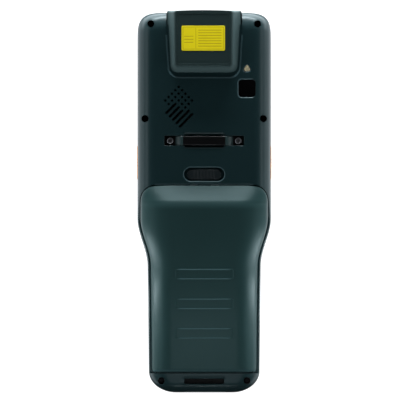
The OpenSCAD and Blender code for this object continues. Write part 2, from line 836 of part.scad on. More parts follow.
module main_board() {
    color("#1d5a3a") difference() {
        span([-27.5, -26, board_z], [27.5, 90, board_top_z]);
        for (x = [-25, 25], y = [8, 70]) translate([x, y, board_z - 1]) cylinder(h = 3, r = 0.8);
    }
}

module shield_cans() {
    can = [21, 20, 2.2];
    color("#b4b9bc") for (corner = [[-24, 66], [2, 66], [-8, 24]])
        translate([corner.x, corner.y, board_top_z]) cube(can);
}

// Imager with its lens barrel and two aiming lights
module scan_engine() {
    front_y = 95;
    lens_z = 17;
    color("#23272a") {
        span([-10.5, 78, engine_z], [10.5, front_y, 21.6]);
        translate([0, front_y - 0.1, lens_z]) rotate([-90, 0, 0]) cylinder(h = 2.4, r = 3);
        for (s = [-1, 1]) translate([s * 7, front_y - 0.1, lens_z]) rotate([-90, 0, 0])
            cylinder(h = 1.6, r = 1.5);
    }
}

// Plate under the imager, on four posts from the shield cans
module scan_engine_bracket() {
    can_top_z = board_top_z + 2.2;
    plate_z = engine_z - 1;
    color("#8d9396") {
        span([-13, 77, plate_z], [13, 92, engine_z]);
        for (x = [-11, 11], y = [79, 84]) translate([x, y, can_top_z])
            cylinder(h = plate_z - can_top_z + 0.1, r = 1.3);
    }
}

module camera_module() {
    color("#16191b") translate(camera) {
        rounded_box([8.5, 8.5, 4.9], 0.6, 13.6);
        translate([0, 0, 18.4]) cylinder(h = 1.1, r = 2.8);
    }
}

module speaker() {
    color("#1b1e20") translate([grille.x, 50, 0]) rounded_box([17, 24, 5], 2, 12.9);
}

module speaker_mesh() {
    color("#0c0d0e") translate([grille.x, 51, 0]) rounded_box([16, 22, 0.6], 1.5, 17.9);
}

module receiver() {
    color("#1b1e20") span([-6.5, 93, face_z], [6.5, 96.3, 5.6]);
}

module vibration_motor() {
    motor_r = 2.2;
    color("#a7acb0") translate([21, 18, board_top_z + motor_r]) rotate([-90, 0, 0])
        cylinder(h = 9, r = motor_r);
}

// Metal shell of the USB socket, with its tongue
module usb_port() {
    inner = port_shell - [0.64, 0.66];
    color("#b4b9bc") translate([0, -90.5, port_z]) rotate([90, 0, 0]) {
        linear_extrude(8) difference() {
            stadium(port_shell.x, port_shell.y);
            stadium(inner.x, inner.y);
        }
        linear_extrude(1) stadium(inner.x + 0.2, inner.y + 0.2);
        linear_extrude(6.5) square([6.7, 0.7], center = true);
    }
}

// Rubber flap over the USB socket, with pivots at its lower corners
module port_cover() {
    outer_y = -100.3;
    color("#1b2124") difference() {
        union() {
            span([-flap_hw, outer_y, flap_axis.y], [flap_hw, -99.1, 8.1]);
            translate([0, flap_axis.x, flap_axis.y]) {
                rod_x(0.6, -flap_hw, flap_hw);
                rod_x(0.4, -flap_hw - 0.9, flap_hw + 0.9);
            }
        }
        // Grip for a fingernail
        span([-2.5, outer_y - 0.3, 7.5], [2.5, outer_y + 0.4, 9]);
    }
}

module dock_contacts() {
    color("#c9a54a") at_contacts() translate([0, -body_half_len + 0.05, 11])
        rotate([-90, 0, 0]) cylinder(h = 4.5, r = 0.8);
}

module card_reader() {
    color("#b4b9bc") difference() {
        span([-20, -24, board_top_z], [-4, -9, 10.4]);
        span([-18.5, -24.5, board_top_z + 0.8], [-5.5, -10, 9.8]);
    }
}

front_housing();
rear_housing();
shell_gasket();
scan_hood();
scan_window();
hood_label();
camera_window();
flash_lens();
strap_bracket();
strap_screws();
housing_screws();
battery_cover();
cover_hinge_pins();
cover_seal();
battery_latch();
latch_plate();
battery_pack();
battery_connector();
trigger_left();
trigger_right();
trigger_switches();
display_window();
display_module();
mid_frame();
keypad_board();
dome_sheet();
main_board();
shield_cans();
scan_engine();
scan_engine_bracket();
camera_module();
speaker();
speaker_mesh();
receiver();
vibration_motor();
usb_port();
port_cover();
dock_contacts();
card_reader();
for (row = [0 : 6], col = [0 : 2])
    key(row, col - 1);
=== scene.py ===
import math

import bpy
import numpy as np
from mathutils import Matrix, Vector
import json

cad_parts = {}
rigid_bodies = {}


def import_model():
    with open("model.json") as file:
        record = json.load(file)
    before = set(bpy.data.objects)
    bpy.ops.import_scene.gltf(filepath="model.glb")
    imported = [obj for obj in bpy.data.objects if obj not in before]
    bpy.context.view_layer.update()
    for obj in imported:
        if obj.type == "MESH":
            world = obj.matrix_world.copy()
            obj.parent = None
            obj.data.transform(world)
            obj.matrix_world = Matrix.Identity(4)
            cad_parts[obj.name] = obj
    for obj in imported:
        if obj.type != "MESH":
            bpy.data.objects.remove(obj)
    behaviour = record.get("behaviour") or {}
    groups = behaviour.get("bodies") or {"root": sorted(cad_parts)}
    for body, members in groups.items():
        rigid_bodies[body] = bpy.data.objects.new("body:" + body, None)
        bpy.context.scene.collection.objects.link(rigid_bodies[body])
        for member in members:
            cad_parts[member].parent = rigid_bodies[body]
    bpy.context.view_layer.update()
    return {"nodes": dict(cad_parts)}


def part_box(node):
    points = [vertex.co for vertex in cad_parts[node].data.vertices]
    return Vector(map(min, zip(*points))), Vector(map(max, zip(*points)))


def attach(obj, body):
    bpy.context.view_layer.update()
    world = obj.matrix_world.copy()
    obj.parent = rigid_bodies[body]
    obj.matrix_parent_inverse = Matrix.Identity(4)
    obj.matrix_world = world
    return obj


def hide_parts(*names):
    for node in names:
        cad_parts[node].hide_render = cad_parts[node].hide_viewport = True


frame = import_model()

# ---- Studio ----
# The terminal lies on its screen on a glowing milk-glass table. Cool strip lights stand beyond the
# scanning end and along both sides, panels lie on the table beside it, and a long lens looks
# straight down from 10 m.

# In millimetres: the terminal's back is back_z over the table, and there the view is 210 wide
MM = 0.001
back_z = 20.5
view_width, view_middle = 210.0, (-2.2, 0.66)
lens_height, sensor = 10000.0, 36.0
cool_white = (0.88, 0.935, 0.985)


def new_light(name, spot, aim, size, watts, spread=180):
    """A rectangular soft light at spot, in metres, that faces aim. It spreads over some degrees and
    is out of the lens's sight."""
    data = bpy.data.lights.new(name, "AREA")
    data.shape = "RECTANGLE"
    data.size, data.size_y = size
    data.energy = watts
    data.color = cool_white
    data.spread = math.radians(spread)
    light = bpy.data.objects.new(name, data)
    light.location = spot
    light.rotation_euler = (Vector(aim) - light.location).to_track_quat("-Z", "Y").to_euler()
    light.visible_camera = False
    bpy.context.scene.collection.objects.link(light)


new_light("head_near", (0, 0.3, 0.06), (0, 0.095, 0.01), (0.2, 0.06), 1.85)
new_light("head_edge", (0, 0.135, 0.02), (0, 0.098, 0.014), (0.09, 0.012), 0.06)
new_light("head_high", (0, 0.579, 0.689), (0, 0, 0), (0.9, 0.2), 0.529)
new_light("head_panel", (0, 0.26, 0.0005), (0, 0.26, 1), (0.7, 0.3), 6.1)
new_light("head_mid", (0, 0.66, 0.46), (0, 0, 0), (0.9, 0.2), 0.575)
new_light("foot_near", (0, -0.14, 0.2), (0, -0.07, 0), (0.1, 0.05), 0.085)
new_light("foot_above", (0, -0.1, 0.16), (0, -0.095, 0), (0.06, 0.03), 0.0453)
new_light("hood_back", (0, -0.6, 0.14), (0, 0.069, 0.023), (0.2, 0.02), 0.012, 8)
for side_name, s in (("right", 1), ("left", -1)):
    new_light(side_name + "_far", (s * 0.898, 0, 0.063), (0, 0, 0), (0.9, 0.1), 2.0)
    new_light(side_name + "_high", (s * 0.779, 0, 0.45), (0, 0, 0), (0.9, 0.2), 2.9)
    new_light(side_name + "_grip", (s * 0.12, -0.055, 0.03), (0, -0.055, 0.02), (0.012, 0.09), 0.119)
    new_light(side_name + "_low", (s * 0.12, -0.055, 0.012), (0, -0.055, 0.015), (0.008, 0.09), 0.0884)
    new_light(side_name + "_panel", (s * 0.19, 0, 0.0005), (s * 0.19, 0, 1), (0.3, 0.24), 0.5)

# The room round the table is white to the lens and lights nothing
world = bpy.data.worlds.new("white_room")
bpy.context.scene.world = world
world.use_nodes = True
world.node_tree.nodes["Background"].inputs["Color"].default_value = (1, 1, 1, 1)
world.cycles_visibility.diffuse = False
world.cycles_visibility.glossy = False

camera_data = bpy.data.cameras.new("camera")
camera_data.sensor_width = sensor
camera_data.lens = sensor * (lens_height - back_z) / view_width
camera_data.clip_start = 0.05
camera_data.clip_end = 20
camera = bpy.data.objects.new("camera", camera_data)
camera.location = (view_middle[0] * MM, view_middle[1] * MM, lens_height * MM)
bpy.context.scene.collection.objects.link(camera)
bpy.context.scene.camera = camera
bpy.context.scene.view_settings.view_transform = "Standard"


def feed(tree, node, inputs):
    """Gives each named input of a node its value: a number, a colour or another node's output."""
    for name, value in inputs.items():
        socket = node.inputs[name]
        if isinstance(value, bpy.types.NodeSocket):
            tree.links.new(value, socket)
        else:
            socket.default_value = (*value, 1) if socket.type == "RGBA" else value


def new_node(tree, kind, inputs, **choices):
    """A new node of a kind, with its choices made and its inputs fed."""
    node = tree.nodes.new("ShaderNode" + kind)
    for choice, value in choices.items():
        setattr(node, choice, value)
    feed(tree, node, inputs)
    return node


def shader(name, colour, roughness, metallic=0.0):
    """A new material, its node tree, its Principled shader with these even values, and the place of
    each point in the piece's own axes."""
    material = bpy.data.materials.new(name)
    material.use_nodes = True
    tree = material.node_tree
    surface = tree.nodes["Principled BSDF"]
    feed(tree, surface, {"Base Color": colour, "Roughness": roughness, "Metallic": metallic})
    return material, tree, surface, new_node(tree, "TexCoord", {}).outputs["Object"]


def noise(tree, place, scale, detail=2):
    """Soft cloudy noise over the place, about scale lumps to the metre."""
    return new_node(tree, "TexNoise", {"Vector": place, "Scale": scale, "Detail": detail}).outputs["Fac"]


def blended(tree, share, first, second):
    """The first colour where share is 0, the second where it is 1, and their mixture between."""
    mix = new_node(tree, "Mix", {}, data_type="RGBA")
    feed(tree, mix, {"Factor": share, "A": first, "B": second})
    return mix.outputs["Result"]


def milk_glass():
    """White glass lit from below, with a very faint mottle."""
    material, tree, surface, place = shader("table_glass", (0.2, 0.2, 0.2), 0.9)
    mottled = blended(tree, noise(tree, place, 3), (0.17, 0.17, 0.17), (0.21, 0.21, 0.21))
    feed(tree, surface, {"Base Color": mottled, "Emission Color": (1, 1, 1), "Emission Strength": 1})
    return material


# In metres: the table reaches past the edge of every low view, and lies just clear of the rim
table_half, table_z = 30.0, -0.00005
table_mesh = bpy.data.meshes.new("table")
table_mesh.from_pydata([(x * table_half, y * table_half, table_z)
                        for x, y in ((-1, -1), (1, -1), (1, 1), (-1, 1))], [], [(0, 1, 2, 3)])
table_mesh.materials.append(milk_glass())
table = bpy.data.objects.new("table", table_mesh)
table.visible_glossy = False
bpy.context.scene.collection.objects.link(table)

# ---- Rear housing ----
# The moulded shell behind the electronics: flat back with wide rounded edges, a tray for the
# battery, and a foot block. It is fine-grained polycarbonate, held on by six screws.

# Sizes are in millimetres. Names in _y are places along the body, with the scanning end at the
# top, names in _z are heights over the table, and _half and _hw are half widths.
head_half, grip_half, foot_half = 35.0, 29.65, 29.0
shoulder_y, end_y = 99.0, -100.4
foot_corner, head_corner = (14.0, 11.0), (17.9, 16.0)
foot_corner_y = end_y + foot_corner[1]
head_corner_y = shoulder_y - head_corner[1]
head_round = (9.5, 7.0)
grip_y, neck = -34.0, 25.0
seam_z, tray_z, heel_z = 9.0, 13.0, 23.3
edge_r, tray_edge_r, least_side, shell_wall = 9.5, 1.0, 1.8, 2.2
foot_y, foot_round_y = -90.4, -95.5
foot_sink, foot_rise, foot_fall = 1.3, 1.2, 8.5
back_y, shelf_y = 8.7, -12.0
cover_top_y, cover_gap, heel_in = 8.2, 1.6, 2.4
cover_corner, cover_power = (9.0, 9.5), 2.4
hump_z, hinge_y, knuckle_r = 30.0, -87.5, 2.6
hinge_z = heel_z - knuckle_r


def middle(node):
    """The middle of a node, in millimetres."""
    return np.mean(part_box(node), axis=0) / MM


def smooth(t):
    """0 to 1 with a level start and end: three t squared less two t cubed."""
    t = np.clip(t, 0, 1)
    return t * t * (3 - 2 * t)


def drop(t):
    """How far a quarter circle has fallen: one less the root of one less t squared."""
    return 1 - np.sqrt(np.maximum(0, 1 - np.clip(t, 0, 1) ** 2))


def side_x(y):
    """Half width between the end corners: a straight grip, then a smooth widening to the head."""
    grip = foot_half + (grip_half - foot_half) * (y - foot_corner_y) / (grip_y - foot_corner_y)
    return np.where(y < grip_y, grip, grip_half + (head_half - grip_half) * smooth((y - grip_y) / neck))


def outline_x(y):
    """Half width of the whole outline: side_x less an elliptic foot corner and a squarer head one,
    with powers of 4 where an ellipse has 2."""
    foot = foot_corner[0] * drop((foot_corner_y - y) / foot_corner[1])
    head = head_corner[0] * (1 - (1 - np.clip((y - head_corner_y) / head_corner[1], 0, 1) ** 4) ** 0.25)
    return side_x(y) - foot - head


def rear_z(y):
    """Height of the back along its middle: round foot, sloping block, tray, shelf, back, round head."""
    block_top = heel_z - foot_sink + foot_rise * (y - foot_round_y) / (foot_y - foot_round_y)
    foot = block_top - foot_fall * drop((foot_round_y - y) / (foot_round_y - end_y))
    shelf = tray_z + (back_z - tray_z) * smooth((y - shelf_y) / (back_y - shelf_y))
    head = head_round[1] * drop((y - shoulder_y + head_round[0]) / head_round[0])
    return np.where(y <= foot_y, foot, shelf) - head


def arches(ys, half, low, high, rx, rz, steps=18, flat=14):
    """Cross sections over ys: up one side, a quarter ellipse of rx and rz, a flat, and down again.
    Every argument from half to rz holds one value per section; flat is the number of points across
    the flat, or their places."""
    ys, half, low, high, rx, rz = np.broadcast_arrays(ys, half, low, high, rx, rz)
    turn = np.linspace(0, np.pi / 2, steps + 1)
    left_x = -half[:, None] + rx[:, None] * (1 - np.cos(turn))
    left_z = high[:, None] - rz[:, None] * (1 - np.sin(turn))
    if np.ndim(flat):
        flat_x = np.repeat(np.asarray(flat)[None], len(ys), 0)
    else:
        flat_x = np.linspace(-1, 1, flat + 2)[1:-1] * (half - rx)[:, None]
    flat_z = np.repeat(high[:, None], flat_x.shape[1], 1)
    x = np.hstack([-half[:, None], left_x, flat_x, -left_x[:, ::-1], half[:, None]])
    z = np.hstack([low[:, None], left_z, flat_z, left_z[:, ::-1], low[:, None]])
    return np.stack([x, np.repeat(ys[:, None], x.shape[1], 1), z], axis=-1)


def loft(rings):
    """A closed solid over rings of points: four-sided faces between neighbours, a flat face on each
    end. A ring runs anticlockwise about the direction in which the rings follow each other."""
    count, around = rings.shape[:2]
    index = np.arange(count * around).reshape(count, around)
    near, far = index[:-1], index[1:]
    sides = np.stack([near, np.roll(near, -1, 1), np.roll(far, -1, 1), far], axis=-1).reshape(-1, 4)
    return rings.reshape(-1, 3), sides.tolist() + [index[0, ::-1].tolist(), index[-1].tolist()]


def joined(*shapes):
    """Several shapes as one: their points in one list, and each one's faces counted on."""
    starts = np.cumsum([0] + [len(points) for points, _ in shapes])
    faces = [[i + start for i in face] for (_, own), start in zip(shapes, starts) for face in own]
    return np.concatenate([points for points, _ in shapes]), faces


def moved(shape, x=0.0, y=0.0, z=0.0):
    """A shape shifted by x, y and z."""
    return shape[0] + np.array([x, y, z]), shape[1]


def turned(shape, times=1):
    """A shape whose axes move on: after one time what pointed up points along X, after two along Y."""
    return np.roll(shape[0], times, axis=1), shape[1]


def spun(outline, angle):
    """An outline turned anticlockwise about the origin by an angle in radians."""
    c, s = math.cos(angle), math.sin(angle)
    return outline @ np.array([[c, s], [-s, c]])


def rounded_rect(width, length, r, steps=7):
    """Outline of a rectangle with quarter-circle corners of radius r, anticlockwise."""
    turn = np.linspace(0, np.pi / 2, steps + 1)
    corner = np.stack([np.cos(turn), np.sin(turn)], axis=-1) * r
    inner = np.array([width / 2 - r, length / 2 - r])
    return np.concatenate([spun(corner, quarter * math.pi / 2) + inner * ways
                           for quarter, ways in enumerate(((1, 1), (-1, 1), (-1, -1), (1, -1)))])


def stadium(length, width):
    """Outline of a slot with round ends, along X: the corners meet but for a hair."""
    return rounded_rect(length, width, width / 2 - 0.001, 10)


def disc(r, count=48):
    """Outline of a circle of radius r."""
    turn = np.arange(count) * 2 * np.pi / count
    return r * np.stack([np.cos(turn), np.sin(turn)], axis=-1)


def grown(outline, d):
    """An anticlockwise outline with every point moved out by d along its normal."""
    along = np.roll(outline, -1, 0) - np.roll(outline, 1, 0)
    along /= np.linalg.norm(along, axis=1, keepdims=True)
    return outline + d * np.stack([along[:, 1], -along[:, 0]], axis=-1)


def at(outline, spot):
    """An outline shifted to a spot."""
    return outline + np.asarray(spot, float)


def mirrored(half):
    """A whole outline from its right half, whose points run away from the foot."""
    return np.concatenate([half, half[::-1] * (-1, 1)])


def level(outline, z):
    """An outline as a ring of points at height z."""
    return np.column_stack([outline, np.full(len(outline), z)])


def stack(outline, levels):
    """A closed solid from one outline at several levels, each a height and a growth of the outline."""
    return loft(np.array([level(grown(outline, d), z) for z, d in levels]))


def peg(r, low, high, x=0.0, y=0.0, count=48):
    """An upright cylinder at x and y, from low to high."""
    return moved(stack(disc(r, count), [(low, 0), (high, 0)]), x, y)


def lipped(outline, floor, surface, lip, outward=1, wide=None):
    """A cutter that leaves a rounded lip: straight from floor, then out along a quarter ellipse
    that is lip high and wide across, and on past the surface in the ellipse's last direction.
    outward is 1 for a surface that faces up and -1 for one that faces down."""
    wide = wide or lip
    turn = np.radians([0, 12, 24, 36, 48, 60, 74])
    below = lip * (1 - np.sin(turn))
    widths = wide * (1 - np.cos(turn))
    over, clear = 0.3, 6
    reach = widths[-1] + (below[-1] + over) * wide / lip * math.tan(turn[-1])
    levels = [(floor, 0)] + [(surface - outward * z, d) for z, d in zip(below, widths)]
    levels += [(surface + outward * over, reach), (surface + outward * clear, reach)]
    return stack(outline, levels[::outward])


def block(low, high):
    """A box from one corner to the opposite one."""
    (x0, y0, z0), (x1, y1, z1) = low, high
    foot = np.array([(x0, y0), (x1, y0), (x1, y1), (x0, y1)], float)
    return stack(foot, [(z0, 0), (z1, 0)])


def rod_x(r, x0, x1, y, z):
    """A cylinder along X, from x0 to x1, round a line at y and z."""
    ring = disc(r)
    return loft(np.array([np.column_stack([np.full(len(ring), x), ring[:, 0] + y, ring[:, 1] + z])
                          for x in (x0, x1)]))


def plain_mesh(name, shape):
    """A mesh from a shape in millimetres."""
    points, faces = shape
    mesh = bpy.data.meshes.new(name)
    mesh.from_pydata((np.asarray(points, float) * MM).tolist(), [], faces)
    mesh.update()
    return mesh


def mesh_shape(mesh):
    """A mesh back as a shape in millimetres."""
    points = np.empty(len(mesh.vertices) * 3)
    mesh.vertices.foreach_get("co", points)
    return points.reshape(-1, 3) / MM, [list(face.vertices) for face in mesh.polygons]


def cut(*shapes):
    """A step of carving that takes shapes away, none of which overlap."""
    return "DIFFERENCE", joined(*shapes)


def add(*shapes):
    """A step of carving that joins shapes on, none of which overlap."""
    return "UNION", joined(*shapes)


def carved(name, base, *steps):
    """A mesh of the base shape after some steps of carving, in order."""
    scene = bpy.context.scene.collection.objects
    body = bpy.data.objects.new(name, plain_mesh(name, base))
    scene.link(body)
    helpers = []
    for operation, shape in steps:
        helper = bpy.data.objects.new("helper", plain_mesh("helper", shape))
        scene.link(helper)
        helpers.append(helper)
        change = body.modifiers.new("change", "BOOLEAN")
        change.operation = operation
        change.solver = "MANIFOLD"
        change.object = helper
    bpy.context.view_layer.update()
    mesh = bpy.data.meshes.new_from_object(body.evaluated_get(bpy.context.evaluated_depsgraph_get()))
    for used in helpers + [body]:
        data = used.data
        bpy.data.objects.remove(used)
        bpy.data.meshes.remove(data)
    mesh.name = name
    return mesh


crisp_angle = 32


def add_piece(name, mesh, material, body, nodes=(), even=False):
    """A mesh or shape as a finished piece: smooth shading with sharper edges left crisp, and with
    even, normals that follow the larger faces. It rides on body and stands for the nodes."""
    if isinstance(mesh, tuple):
        mesh = plain_mesh(name, mesh)
    mesh.materials.clear()
    mesh.materials.append(material)
    mesh.shade_smooth()
    mesh.set_sharp_from_angle(angle=math.radians(crisp_angle))
    thing = bpy.data.objects.new(name, mesh)
    bpy.context.scene.collection.objects.link(thing)
    if even:
        normals = thing.modifiers.new("normals", "WEIGHTED_NORMAL")
        normals.keep_sharp = True
    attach(thing, body)
    if nodes:
        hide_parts(*nodes)


def between(tree, share, low, high):
    """A number that goes from low to high with share."""
    return new_node(tree, "MapRange", {"Value": share, "To Min": low, "To Max": high}).outputs["Result"]


def bumped(tree, height, depth, invert=False):
    """The normal of a surface with relief, depth millimetres high where height is 1."""
    bump = new_node(tree, "Bump", {"Height": height, "Distance": depth * MM}, invert=invert)
    return bump.outputs["Normal"]


def grained(name, dark, light, roughness, grain=0.2, depth=0.006, specular=0.5, painted_light=None,
            gloss=(1, 1, 1)):
    """Moulded plastic: a fine spark-eroded grain as bump, and a slow drift in colour and in how
    rough it is. grain and depth are the grain's size and height in millimetres, and gloss is the
    tint of what it mirrors. Where the mesh's painted-light attribute is 1 the colour turns to the
    given lighter one: a painted highlight on lips, ridges and lit slopes."""
    material, tree, surface, place = shader(name, dark, roughness)
    drift = noise(tree, place, 45, detail=4)
    colour = blended(tree, drift, dark, light)
    # Painted light: a mesh attribute mixes in a lighter colour where highlights should fall
    if painted_light:
        painted_light_share = new_node(tree, "Attribute", {}, attribute_name="painted_light").outputs["Fac"]
        colour = blended(tree, painted_light_share, colour, painted_light)
    feed(tree, surface, {"Base Color": colour,
                         "Roughness": between(tree, drift, roughness - 0.04, roughness + 0.04),
                         "Normal": bumped(tree, noise(tree, place, 1 / (grain * MM), detail=3), depth),
                         "Specular IOR Level": specular, "Specular Tint": gloss})
    return material


# The shell's lighter second tone is a painted highlight for the lips of its recesses
shell_plastic = grained("shell_plastic", (0.0055, 0.0146, 0.0160), (0.0061, 0.0162, 0.0177), 0.32,
                        specular=0.16, painted_light=(0.03, 0.055, 0.06), gloss=(0.9, 1, 1))


def sines(step, stop=90):
    """Sines of the angles from 0 up to stop degrees, for places that crowd towards a round end."""
    return np.sin(np.radians(np.arange(0, stop, step)))


def places(*groups):
    """Groups of places as one sorted row without doubles, to a thousandth."""
    return np.unique(np.round(np.concatenate(groups), 3))


# The outside, from cross sections that stand closer where the shape bends
rear_ys = places(
    foot_corner_y - foot_corner[1] * sines(5), foot_round_y - (foot_round_y - end_y) * sines(7, 85),
    [end_y + 0.001, foot_y, foot_y + 0.002], np.arange(-86, grip_y, 8), np.arange(grip_y, shelf_y, 1.5),
    np.arange(shelf_y, back_y, 0.9), [back_y], np.arange(12, 83, 6),
    head_corner_y + head_corner[1] * sines(4, 86),
    shoulder_y - head_round[0] * (1 - sines(5)), [shoulder_y - 0.05])
rear_shelf = smooth((rear_ys - shelf_y) / (back_y - shelf_y))
rear_r = np.where(rear_ys > foot_y + 0.001, tray_edge_r + (edge_r - tray_edge_r) * rear_shelf, edge_r)
rear_half = outline_x(rear_ys)
rear_top = rear_z(rear_ys)
rear_outside = loft(arches(rear_ys, rear_half, seam_z, rear_top, np.minimum(rear_r, rear_half / 2),
                           np.minimum(rear_r, rear_top - seam_z - least_side)))

screw_spots = [(s * x, y) for x, y in ((28, 93.2), (31.1, 43.4), (22.5, -94.2)) for s in (-1, 1)]
screw_seat_z, counterbore_r, column_r = 13.0, 1.9, 3.1
hollow_y = 10.7


def body_outline(d):
    """Outline of the whole body, moved in by d: half widths up the right side and down the left."""
    turn = np.radians(np.arange(0, 91, 6))
    ys = np.concatenate([foot_corner_y - foot_corner[1] * np.cos(turn), np.arange(-84, grip_y, 6),
                         np.arange(grip_y, grip_y + neck + 1, 1.6), np.arange(-4, 82, 12),
                         head_corner_y + head_corner[1] * np.sin(turn)])
    ys = places(np.clip(ys, end_y + 0.002, shoulder_y - 0.002))
    return grown(mirrored(np.column_stack([outline_x(ys), ys])), -d)


def cover_x(y):
    """Half width of the battery cover: the body's less a gap, a round latch corner and a heel."""
    wide, long = cover_corner
    top = np.clip((y - cover_top_y) / long + 1, 0, 1)
    corner = wide * (1 - np.maximum(0, 1 - top ** cover_power) ** (1 / cover_power))
    return side_x(y) - cover_gap - corner - heel_in * drop((hinge_y - y) / knuckle_r)


def cover_outline(low_y):
    """Outline of the battery cover from low_y up to its latch edge."""
    ys = np.concatenate([np.arange(low_y, -2, 2), cover_top_y - cover_corner[1] * (1 - sines(5, 91))])
    return mirrored(np.column_stack([cover_x(ys), ys]))


# Hollow of the head, less the screw columns and the thick places under the latch and the strap
hollow = carved(
    "hollow", stack(body_outline(shell_wall), [(seam_z - 1, 0), (tray_z, 0)]),
    add(block((-31, hollow_y, 12), (31, 92.5, 16))),
    add(block((-27.8, hollow_y, 15), (27.8, 91, back_z - 2))),
    cut(block((-60, -120, 0), (60, hollow_y, 40))),
    cut(*[peg(column_r, 0, 30, *spot) for spot in screw_spots]),
    cut(block((-13, 9.2, 17.3), (13, 19.5, 19))),
    cut(block((-22.5, 26, 14.8), (22.5, 37.6, 19))))


def hood_outline(sizes):
    """Outline like the scan hood's from five sizes: half width at the inner and at the outer end,
    the places of those ends, and the radius of the inner corners. The sides are straight between
    the corners, and the outer end is bowed."""
    x0, x1, y0, y1, r = sizes
    tip_r, bow = 1.0, 0.4
    turn = np.radians(np.arange(0, 91, 9))
    corner = np.column_stack([x0 - r * (1 - np.sin(turn)), y0 + r * (1 - np.cos(turn))])
    rise = np.linspace(0.15, 0.9, 6)
    side = np.column_stack([x0 + (x1 - x0) * rise, y0 + r + (y1 - 1.6 - y0 - r) * rise])
    tip = np.radians(np.arange(0, 91, 15))
    tip_corner = np.column_stack([np.cos(tip), np.sin(tip)]) * tip_r + (x1 - tip_r, y1 - bow - tip_r)
    across = np.array([0.8, 0.6, 0.4, 0.2, 0.05])
    end = np.column_stack([(x1 - tip_r) * across, y1 - bow * across ** 2])
    return mirrored(np.concatenate([corner, side, tip_corner, end]))


# The hood's foot and the moat round it, as sizes for hood_outline
hood_foot = np.array([17.55, 19.6, 67.6, 100.4, 3.6])
moat = hood_foot + (0.8, 0.6, -2.2, 0, 1.4)

camera_spot = middle("camera_window")[:2]
flash_spot = middle("flash_lens")[:2]
strap_y = middle("strap_bracket")[1]
latch_y = middle("battery_latch")[1]
slot_y, bay_y, wall_ys = -94.55, -39.5, (-101, -95)
ear_xs, ear_half, tongue_xs = (-18, 18), 1.8, (-5.5, 5.5)
grille_spot, grille_step, grille_r = np.array([-13.4, 60.1]), np.array([1.76, 1.8]), 0.64


def grille_hole(a, b, end=None):
    """One opening of the grille, a steps down to the right and b down to the left: a round hole, or
    a slot that runs on to b = end."""
    start = grille_spot + grille_step * (a - b, -a - b)
    if end is None:
        return peg(grille_r, 14, 24, *start, count=16)
    stop = grille_spot + grille_step * (a - end, -a - end)
    run = stop - start
    outline = spun(stadium(np.linalg.norm(run) + 2 * grille_r, 2 * grille_r), math.atan2(run[1], run[0]))
    return stack(at(outline, (start + stop) / 2), [(14, 0), (24, 0)])


def flash_outline(d):
    """A rounded triangle: a radius of 1.72 mm with a threefold wave of 0.24 mm, d larger all round."""
    turn = np.arange(0, 2 * np.pi, np.pi / 18)
    r = 1.72 + 0.24 * np.cos(3 * (turn - np.pi / 2)) + d
    return np.column_stack([r * np.cos(turn), 1.05 * r * np.sin(turn)])


grille = [grille_hole(a, b) for a in range(5) for b in range(5) if a + b <= 4]
grille += [grille_hole(*ab) for ab in ((4, 1), (3, 2), (1, 4), (4, 2))]
grille += [grille_hole(a, b, 5.6) for a, b in ((2, 3), (3, 3), (4, 3), (5, 2), (6, 2))]
rear_mesh = carved(
    "rear_housing_skin", rear_outside,
    cut(mesh_shape(hollow)),
    # The cover's pocket, with the battery's bay behind an upstand
    cut(lipped(grown(cover_outline(shelf_y - 1), 0.5), tray_z, back_z, 0.5)),
    add(stack(at(rounded_rect(49.2, 88.2, 3), (0, bay_y)), [(11.3, 0), (14.7, 0), (15, -0.3)])),
    cut(stack(at(rounded_rect(46, 85, 2), (0, bay_y)), [(10.5, 0), (14.7, 0), (15.5, 0.5)])),
    # Two ears, the screws' holes, and the bores for the cover's pins
    add(*[block((x - ear_half, hinge_y - 0.8, tray_z - 0.5), (x + ear_half, hinge_y + 1.5, hinge_z))
          for x in ear_xs]),
    add(*[rod_x(1.5, x - ear_half, x + ear_half, hinge_y, hinge_z) for x in ear_xs]),
    cut(*[peg(counterbore_r, screw_seat_z, 34, *spot) for spot in screw_spots]),
    cut(*[rod_x(0.76, x - 3, x + 3, hinge_y, hinge_z) for x in ear_xs]),
    # The moat round the scan hood, the gap for its nose, and the imager's room under it
    cut(lipped(hood_outline(moat), 19.95, back_z, 0.55, wide=1.2)),
    cut(block((-19.9, 92.7, seam_z - 1), (19.9, 110, 40))),
    cut(block((-13.5, 72, 12.9), (13.5, 93, 24))),
    # Camera, flash and speaker
    cut(lipped(at(rounded_rect(8.8, 9.0, 1.6), camera_spot), 19.6, back_z, 0.8)),
    cut(moved(stack(rounded_rect(7.2, 7.2, 1), [(16, 0), (22, 0)]), *camera_spot)),
    cut(lipped(at(flash_outline(0.1), flash_spot), 18.8, back_z, 0.3)),
    cut(*grille),
    # The strap bracket's channel, with a scoop for the fingers
    cut(lipped(at(rounded_rect(41.8, 5.2, 0.5), (0, strap_y)), 17.9, back_z, 0.3)),
    cut(lipped(at(rounded_rect(20.8, 6.6, 0.8), (0, strap_y)), 16.6, back_z, 0.8, wide=1.7)),
    # The latch's slot, and the openings for its plate and its two tongues
    cut(lipped(at(stadium(21.2, 7.1), (0, latch_y + 0.15)), 18.6, back_z, 0.6)),
    cut(block((-5.9, latch_y - 1.5, 16), (5.9, latch_y + 1.5, 19))),
    cut(*[block((x - 3.85, back_y - 1, 14.8), (x + 3.85, back_y + 3, 17.2)) for x in tongue_xs]),
    # The strap's slot out through the foot's end, and the holes of the dock's contacts
    cut(lipped(at(rounded_rect(21, 2.9, 0.6), (0, slot_y)), 13.6, 22.2, 0.35)),
    cut(block((-10.5, -110, 13.6), (10.5, slot_y, 16.4))),
    cut(*[moved(turned(peg(0.85, *wall_ys, count=24), 2), 3 * k, 0, 11) for k in np.arange(-2.5, 3)]),
    # Openings in the tray for the battery's connector and the card reader
    cut(block((-7, -2.1, seam_z - 1), (7, 2.9, 12))),
    cut(block((-20.4, -24.4, seam_z - 1), (-3.6, -8.6, 12))))


